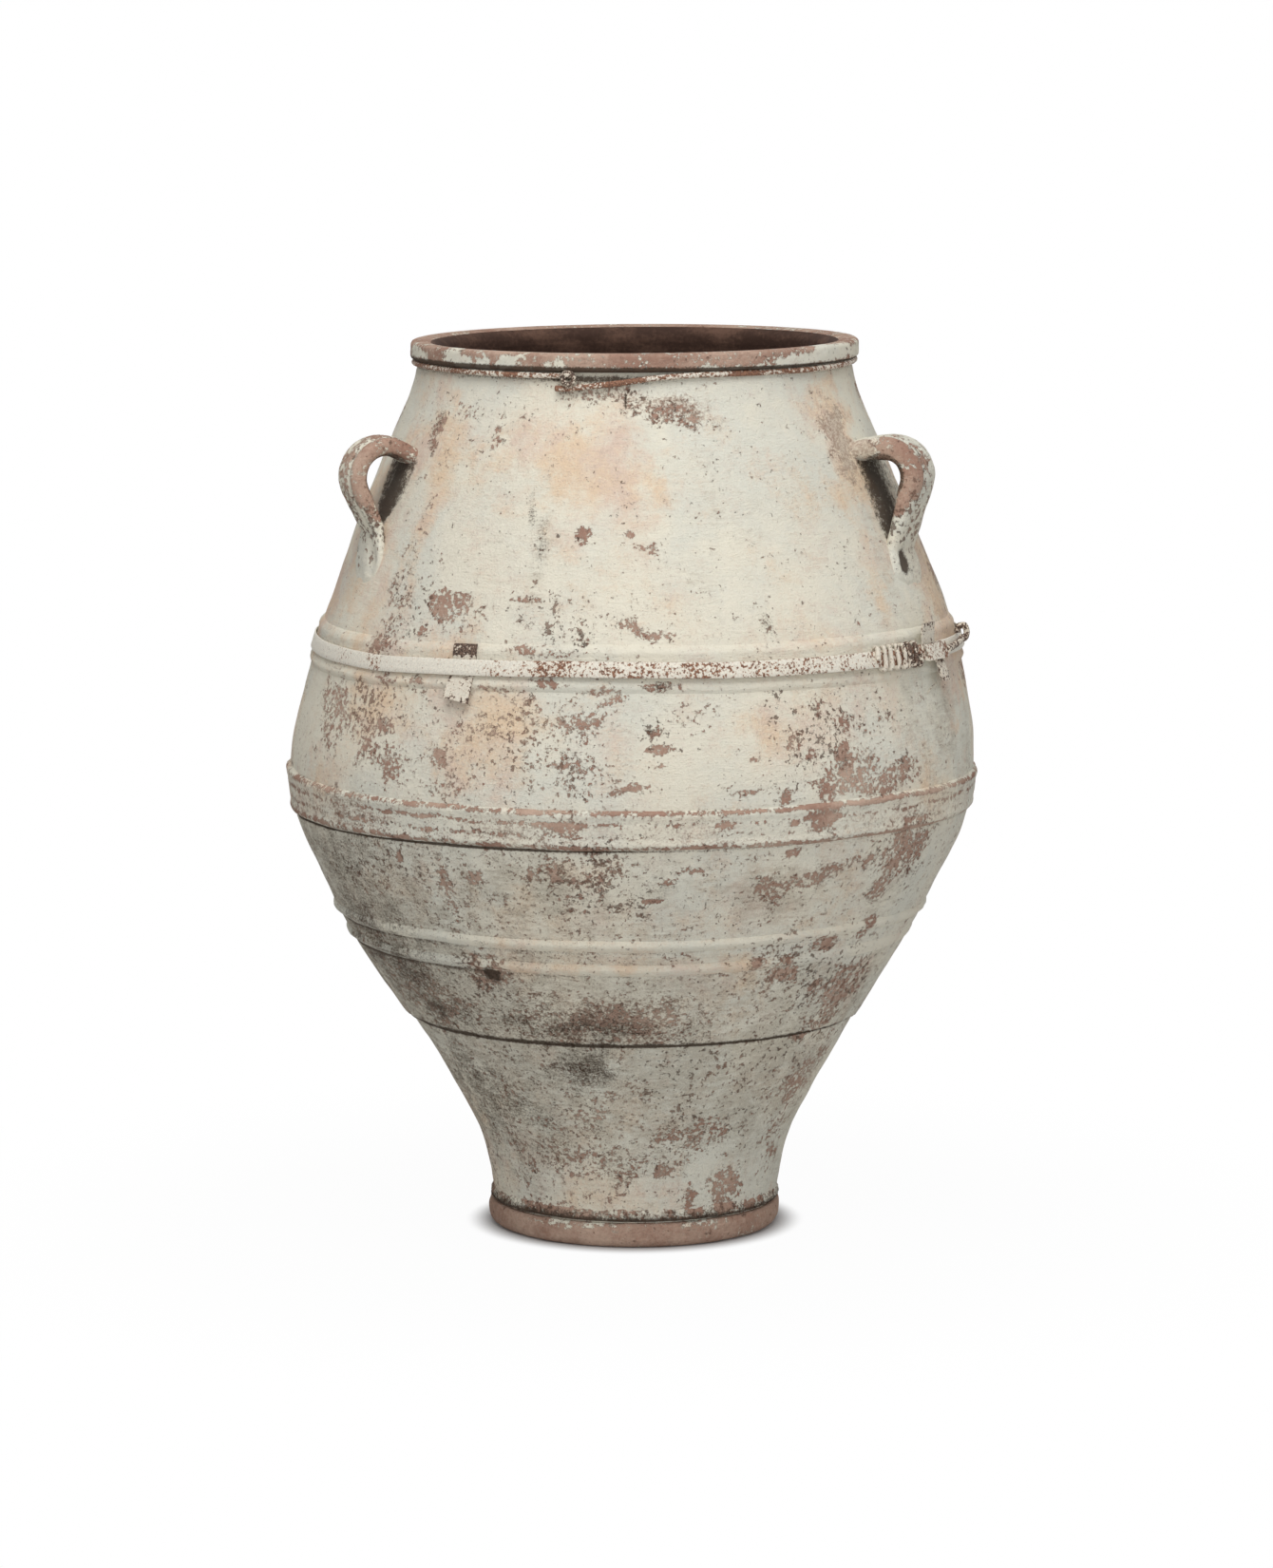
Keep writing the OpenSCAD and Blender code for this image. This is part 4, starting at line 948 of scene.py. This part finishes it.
def iron_finish(name, paint, rust_pale, rust_dark, speck_size, cover):
    """Rusting iron under old white paint. The rust mark on each point adds to how much shows."""
    material, tree, shader = started(name)
    place = object_place(tree)
    spots = grain(tree, place, speck_size, 6, 0.62)
    broad = grain(tree, place, 22, 4, 0.55)
    fine = grain(tree, place, 1.8, 3, 0.6)
    through = weighed(tree, (spots, 1.0), (broad, 0.15), (kept(tree, "rust"), 0.27))
    rusted = eased_step(tree, through, cover, cover + 0.03)
    stained = eased_step(tree, through, cover - 0.09, cover + 0.02)
    coat = blend(tree, eased_step(tree, fine, 0.35, 0.7), paint, tuple(0.8 * c for c in paint))
    coat = blend(tree, maths(tree, "MULTIPLY", stained, 0.32), coat, (0.60, 0.38, 0.24))
    rust = blend(tree, eased_step(tree, fine, 0.38, 0.62), rust_pale, rust_dark)
    fill(tree, shader.inputs["Base Color"], blend(tree, rusted, coat, rust))
    fill(tree, shader.inputs["Roughness"], maths(tree, "MULTIPLY_ADD", rusted, 0.25, 0.6))
    raised(tree, shader, 0.7, 0.0006, (rusted, -0.5), (fine, 0.7), (spots, 0.8))
    return material


painted_iron = iron_finish("painted iron", (0.83, 0.78, 0.67), (0.34, 0.17, 0.10), (0.13, 0.062, 0.040), 3.2, 0.68)
rusty_iron = iron_finish("rusty iron", (0.72, 0.66, 0.55), (0.19, 0.12, 0.085), (0.050, 0.032, 0.024), 3.6, 0.62)


def on_jar(angle, out, z):
    turn = math.radians(angle)
    return (out * math.sin(turn), -out * math.cos(turn), z)


def wire_shape(points, thickness, sides=4):
    """A round wire through points in millimetres, as a shape with closed ends."""
    curve = bpy.data.curves.new("wire", "CURVE")
    curve.dimensions = "3D"
    curve.bevel_depth = thickness / 2
    curve.bevel_resolution = sides
    curve.use_fill_caps = True
    run = curve.splines.new("POLY")
    run.points.add(len(points) - 1)
    for knot, point in zip(run.points, points):
        knot.co = (*point, 1)
        knot.radius = 1 + 0.04 * bumps([point], 9)[0]
    holder = bpy.data.objects.new("wire", curve)
    bpy.context.scene.collection.objects.link(holder)
    drawn = bpy.data.meshes.new_from_object(holder.evaluated_get(bpy.context.evaluated_depsgraph_get()))
    shape = bmesh.new()
    shape.from_mesh(drawn)
    bmesh.ops.remove_doubles(shape, verts=shape.verts, dist=0.001)
    bmesh.ops.recalc_face_normals(shape, faces=shape.faces)
    bpy.data.objects.remove(holder)
    bpy.data.meshes.remove(drawn)
    return shape


def smoothed(points, per_span=8):
    """More points on a smooth run through the given ones."""
    points = np.array(points, float)
    padded = np.vstack([2 * points[0] - points[1], points, 2 * points[-1] - points[-2]])
    run = []
    for i in range(1, len(padded) - 2):
        a, b, c, d = padded[i - 1:i + 3]
        for t in np.arange(per_span) / per_span:
            cubic = (2 * a - 5 * b + 4 * c - d) * t**2 + (3 * b - a - 3 * c + d) * t**3
            run.append(0.5 * (2 * b + (c - a) * t + cubic))
    return run + [padded[-2]]


def as_made(points):
    return points


def iron_piece(shape, node, finish, shaping=as_made):
    """Finishes an iron piece. Its slot is called what its finish is called."""
    return finished(shape, node, finish.name.replace(" ", "_"), finish, shaping)


wire_level, wire_radius, wire_thick = 937.4, 235.3, 6.3
ring_points = [
    on_jar(
        a, wire_radius + 0.25 * math.sin(a / 7),
        wire_level + 0.35 * math.sin(a / 11) - 0.35 - 3.5 * max(0, (20 - a) / 17) ** 2,
    )
    for a in np.linspace(3, 360 - 18.5, 420)
]
piece, points = iron_piece(wire_shape(ring_points, wire_thick), "neck_wire", painted_iron)
mark(piece, rust=0.42 + spread(points, [
    (-75, 937, 30, 9, 0.3), (28, 937, 14, 9, 0.5), (44, 937, 30, 9, 0.3), (-52, 937, 20, 9, 0.25),
    (-32, 937, 12, 9, 0.3),
]))

sag_points = []
for a in np.linspace(3, -20, 40):
    t = (3 - a) / 23
    z = wire_level - 3.8 - 10.2 * min(1, 1.15 * t) ** 0.9
    sag_points.append(on_jar(a, max(wire_radius, wall_at(z) + 3.5) + 0.4, z))
piece, points = iron_piece(wire_shape(sag_points, wire_thick), "neck_wire_tail", painted_iron)
mark(piece, rust=0.6 + spread(points, [(-18, 922, 16, 9, 0.2), (-3, 932, 30, 9, 0.2)]))

curl = []
middle_turn, middle_up = math.radians(-16.5), wire_level - 3.4
for t in np.linspace(0, 1, 60):
    turn = math.radians(120 - 470 * t)
    size = 6.8 - 2.6 * t
    out = wire_radius + 6.4 + 1.5 * t
    side, up = size * math.cos(turn), size * math.sin(turn)
    curl.append((
        out * math.sin(middle_turn) + side * math.cos(middle_turn),
        -out * math.cos(middle_turn) + side * math.sin(middle_turn),
        middle_up + up,
    ))
link = [on_jar(-18.6, wire_radius + 0.3, wire_level - 0.2), on_jar(-17.6, wire_radius + 3.4, wire_level + 0.2)]
eye_points = smoothed(link + curl[::6], 6)
piece, points = iron_piece(wire_shape(eye_points, 5.8), "neck_wire_eye", rusty_iron)
mark(piece, rust=0.3)

# Strap: a flat hoop of iron round the shoulder, in the channel between the band's two ridges.
# It was painted with the jar, and rust speckles it at the front.
strap_middle, strap_low, strap_high, strap_thick = 642, 634, 650, 1.5
channel_slope = (wall_at(652.5) - wall_at(631.5)) / 21
hoop_shift = 2.8
hoop_x, hoop_y, _ = on_jar(51, hoop_shift, 0)


def hoop_radius(z):
    return 343 + 2 + channel_slope * (z - strap_middle) + 0.3 + hoop_shift


def hooped(points):
    """Moves what was spun round the hoop's own centre into place, and dents it a little."""
    moved = points + [hoop_x, hoop_y, 0]
    return pushed_out(moved, 0.25 * bumps(points, 40, 2))


third = (strap_high - strap_low) / 3
hoop_rows = [strap_low, strap_low + 0.5, strap_low + third, strap_high - third, strap_high - 0.5, strap_high]
corner_trim = [0.4, 0.0, 0.0, 0.0, 0.0, 0.4]
hoop_outer = [(hoop_radius(z) + strap_thick - cut, z) for z, cut in zip(hoop_rows, corner_trim)]
hoop_inner = [(hoop_radius(z) + cut, z) for z, cut in zip(hoop_rows, corner_trim)]
piece, points = iron_piece(spun(hoop_outer + hoop_inner[::-1]), "strap_hoop", painted_iron, hooped)
mark(piece, rust=-0.2 + spread(points, [
    (-14, 642, 34, 30, 0.7), (-2, 642, 40, 30, 0.55), (10, 642, 34, 30, 0.5), (25, 642, 80, 30, 0.48),
    (-24, 644, 16, 20, 0.45), (-52, 642, 16, 20, 0.5), (-62, 642, 20, 20, 0.25), (38, 640, 14, 20, 0.25),
    (51, 642, 50, 30, 0.9), (120, 642, 90, 20, 0.4), (-120, 642, 90, 20, 0.4), (180, 642, 50, 20, 0.5),
]))

# Clip: a strip of sheet iron tucked behind the strap, with its ends over the band's two ridges.
# The lower end slants and stands off the wall a little.
clip_thick = 1.2
clip_line = [
    (665.5, 4.4), (663, 4.6), (659, 4.4), (655, 3.6), (651, 2.4), (642, 2.35), (633, 2.4), (629, 3.6),
    (626, 4.6), (620, 5.0), (611, 5.9), (603.5, 6.9),
]
clip_outer = [(wall_at(z) + out + clip_thick, z) for z, out in clip_line]
clip_inner = [(r - clip_thick, z) for r, z in clip_outer][::-1]


def across_clip(points):
    """How far each point is from the clip's middle: one at its right edge and minus one at its left."""
    return (angle_of(points) + 30.8) / 2.3


def bent_clip(points):
    """The clip's lower edge slants and stands off the wall at the left."""
    below = np.clip((630 - points[:, 2]) / 22, 0, 1)
    side = across_clip(points)
    moved = points.copy()
    moved[:, 2] -= below * (3.0 * side - 5.0) + below * 0.6 * bumps(points, 7, 2)
    return pushed_out(moved, below * (1.0 - 0.8 * side) + 0.2 * bumps(points, 9, 4))


piece, points = iron_piece(spun(clip_outer + clip_inner, -33.1, 4.7, 22), "strap_clip", rusty_iron, bent_clip)
clip_side, clip_z = across_clip(points), points[:, 2]
clip_edge = np.clip(np.abs(clip_side) - 0.72, 0, 1) * 1.6 + np.clip((612 - clip_z) / 7, 0, 1) * 0.3
clip_painted = -0.22 + clip_edge - 0.35 * np.clip(clip_side - 0.6, 0, 1)
mark(piece, rust=np.where(clip_z > 651, 0.62, clip_painted))

# Lashing: iron wire wound tightly round the strap's overlap, with its ends twisted together past it.
# Old paint is caked in lumps on its wraps.
lash_angle, lash_turns, lash_pitch, lash_thick = 51, 7, 10.5, 5.0


def round_hoop(angle, near, z):
    x, y, up = on_jar(angle, hoop_radius(z) + near, z)
    return (x + hoop_x, y + hoop_y, up)


def squared(value, power):
    return math.copysign(abs(value) ** power, value)


lash_points = []
for i in range(lash_turns * 36 + 1):
    turn = i / 36
    t = 2 * math.pi * turn
    wander = 0.9 * math.sin(2.3 * turn) + 0.5 * math.sin(5.1 * turn + 1)
    angle = lash_angle + math.degrees(((turn - lash_turns / 2) * lash_pitch + wander) / 345)
    near, up = 0.75 + 3.5 * squared(math.cos(t), 0.5), strap_middle + 10.6 * squared(math.sin(t), 0.6)
    lash_points.append(round_hoop(angle, near, up))


def caked(points):
    """The lumps of old paint on the wraps."""
    return pushed_out(points, 1.3 * bumps(points, 9, 4) + 0.6 * bumps(points, 4, 2))


piece, points = iron_piece(wire_shape(lash_points, lash_thick), "strap_lashing", rusty_iron, caked)
lash_rust = np.interp(angle_of(points), [44, 49, 52, 54, 58], [-0.35, -0.3, 0.0, 0.45, 0.35])
mark(piece, rust=lash_rust + 0.35 * bumps(points, 8, 7))

# Strap ends: past the lashing one end is folded flat over the hoop.
# Another is bent up as a tab, and a torn one hangs below.


def folded_end(points):
    return pushed_out(hooped(points), 0.8 * bumps(points, 12, 3))


fold = [(hoop_radius(z) + near, z) for near, z in (
    (1.8, strap_low), (1.8, strap_high), (3.3, strap_high), (3.3, 638),
    (6.3, 638), (6.3, strap_high), (7.8, strap_high), (7.8, strap_low),
)]
piece, points = iron_piece(spun(fold, 58.6, 7.6, 26), "strap_end_loop", painted_iron, folded_end)
mark(piece, rust=0.22 + 0.3 * np.clip((angle_of(points) - 63) / 2, 0, 1))


def leaning(low, high, out_low, out_high):
    """A strap end's section between two heights, standing off the hoop by so much at each."""
    heights = np.linspace(low, high, 9)
    outs = np.interp(heights, [low, high], [out_low, out_high])
    outer = [(hoop_radius(z) + out + strap_thick, z) for z, out in zip(heights, outs)]
    return outer + [(r - strap_thick, z) for r, z in outer[::-1]]


def crumpled(points):
    moved = hooped(points)
    moved[:, 2] += 0.8 * bumps(points, 8, 6)
    return pushed_out(moved, 1.2 * bumps(points, 9, 8))


for node, line, start, sweep, steps, heights, amounts in (
    ("strap_tab", (650.5, 671.5, 1.8, 8.2), 58.4, 4.5, 18, (650, 660, 669, 675), (-0.1, -0.3, 0.0, 0.6)),
    ("strap_drop", (611.5, 633.5, 5.6, 1.8), 61.8, 3.3, 14, (612, 625, 640), (0.25, 0.05, 0.3)),
):
    piece, points = iron_piece(spun(leaning(*line), start, sweep, steps), node, rusty_iron, crumpled)
    mark(piece, rust=np.interp(points[:, 2], heights, amounts))

# Twisted wire ends: the lashing's two ends are twisted into a rope that rises and curls into a small eye.
# A thin loose wire lies on the wall below them.
rope_line = smoothed([round_hoop(*knot) for knot in (
    (66.4, 6.5, 640), (68.5, 6.9, 642), (71, 7.6, 643.5), (73.5, 8.6, 645.5), (75.5, 9.0, 647.5),
)], 14)
eye_at = np.array(round_hoop(77.4, 8.4, 652.4))
for t in np.linspace(0.1, 1, 26):
    turn = math.radians(250 + 300 * t)
    rope_line.append(eye_at + [5.0 * math.cos(turn), -1.5 + 4 * t, 7.2 * math.sin(turn)])
twists = 0.9 * np.arange(len(rope_line))
rope_points = np.array(rope_line) + 0.5 * np.stack([0 * twists, np.sin(twists), np.cos(twists)], axis=1)
piece, points = iron_piece(wire_shape(rope_points, 6.8), "lashing_pigtail", rusty_iron)
mark(piece, rust=0.25 + 0.15 * bumps(points, 8, 2))

drop_points = []
for t in np.linspace(0, 1, 24):
    z = 611.5 - 13 * t
    drop_points.append(on_jar(65.4 - 6 * t, wall_at(z) + 1.1 + 6 * (1 - t) ** 2, z + 3 * math.sin(3 * t)))
piece, points = iron_piece(wire_shape(drop_points, 1.2, 2), "drop_wire", rusty_iron)
mark(piece, rust=-0.1)
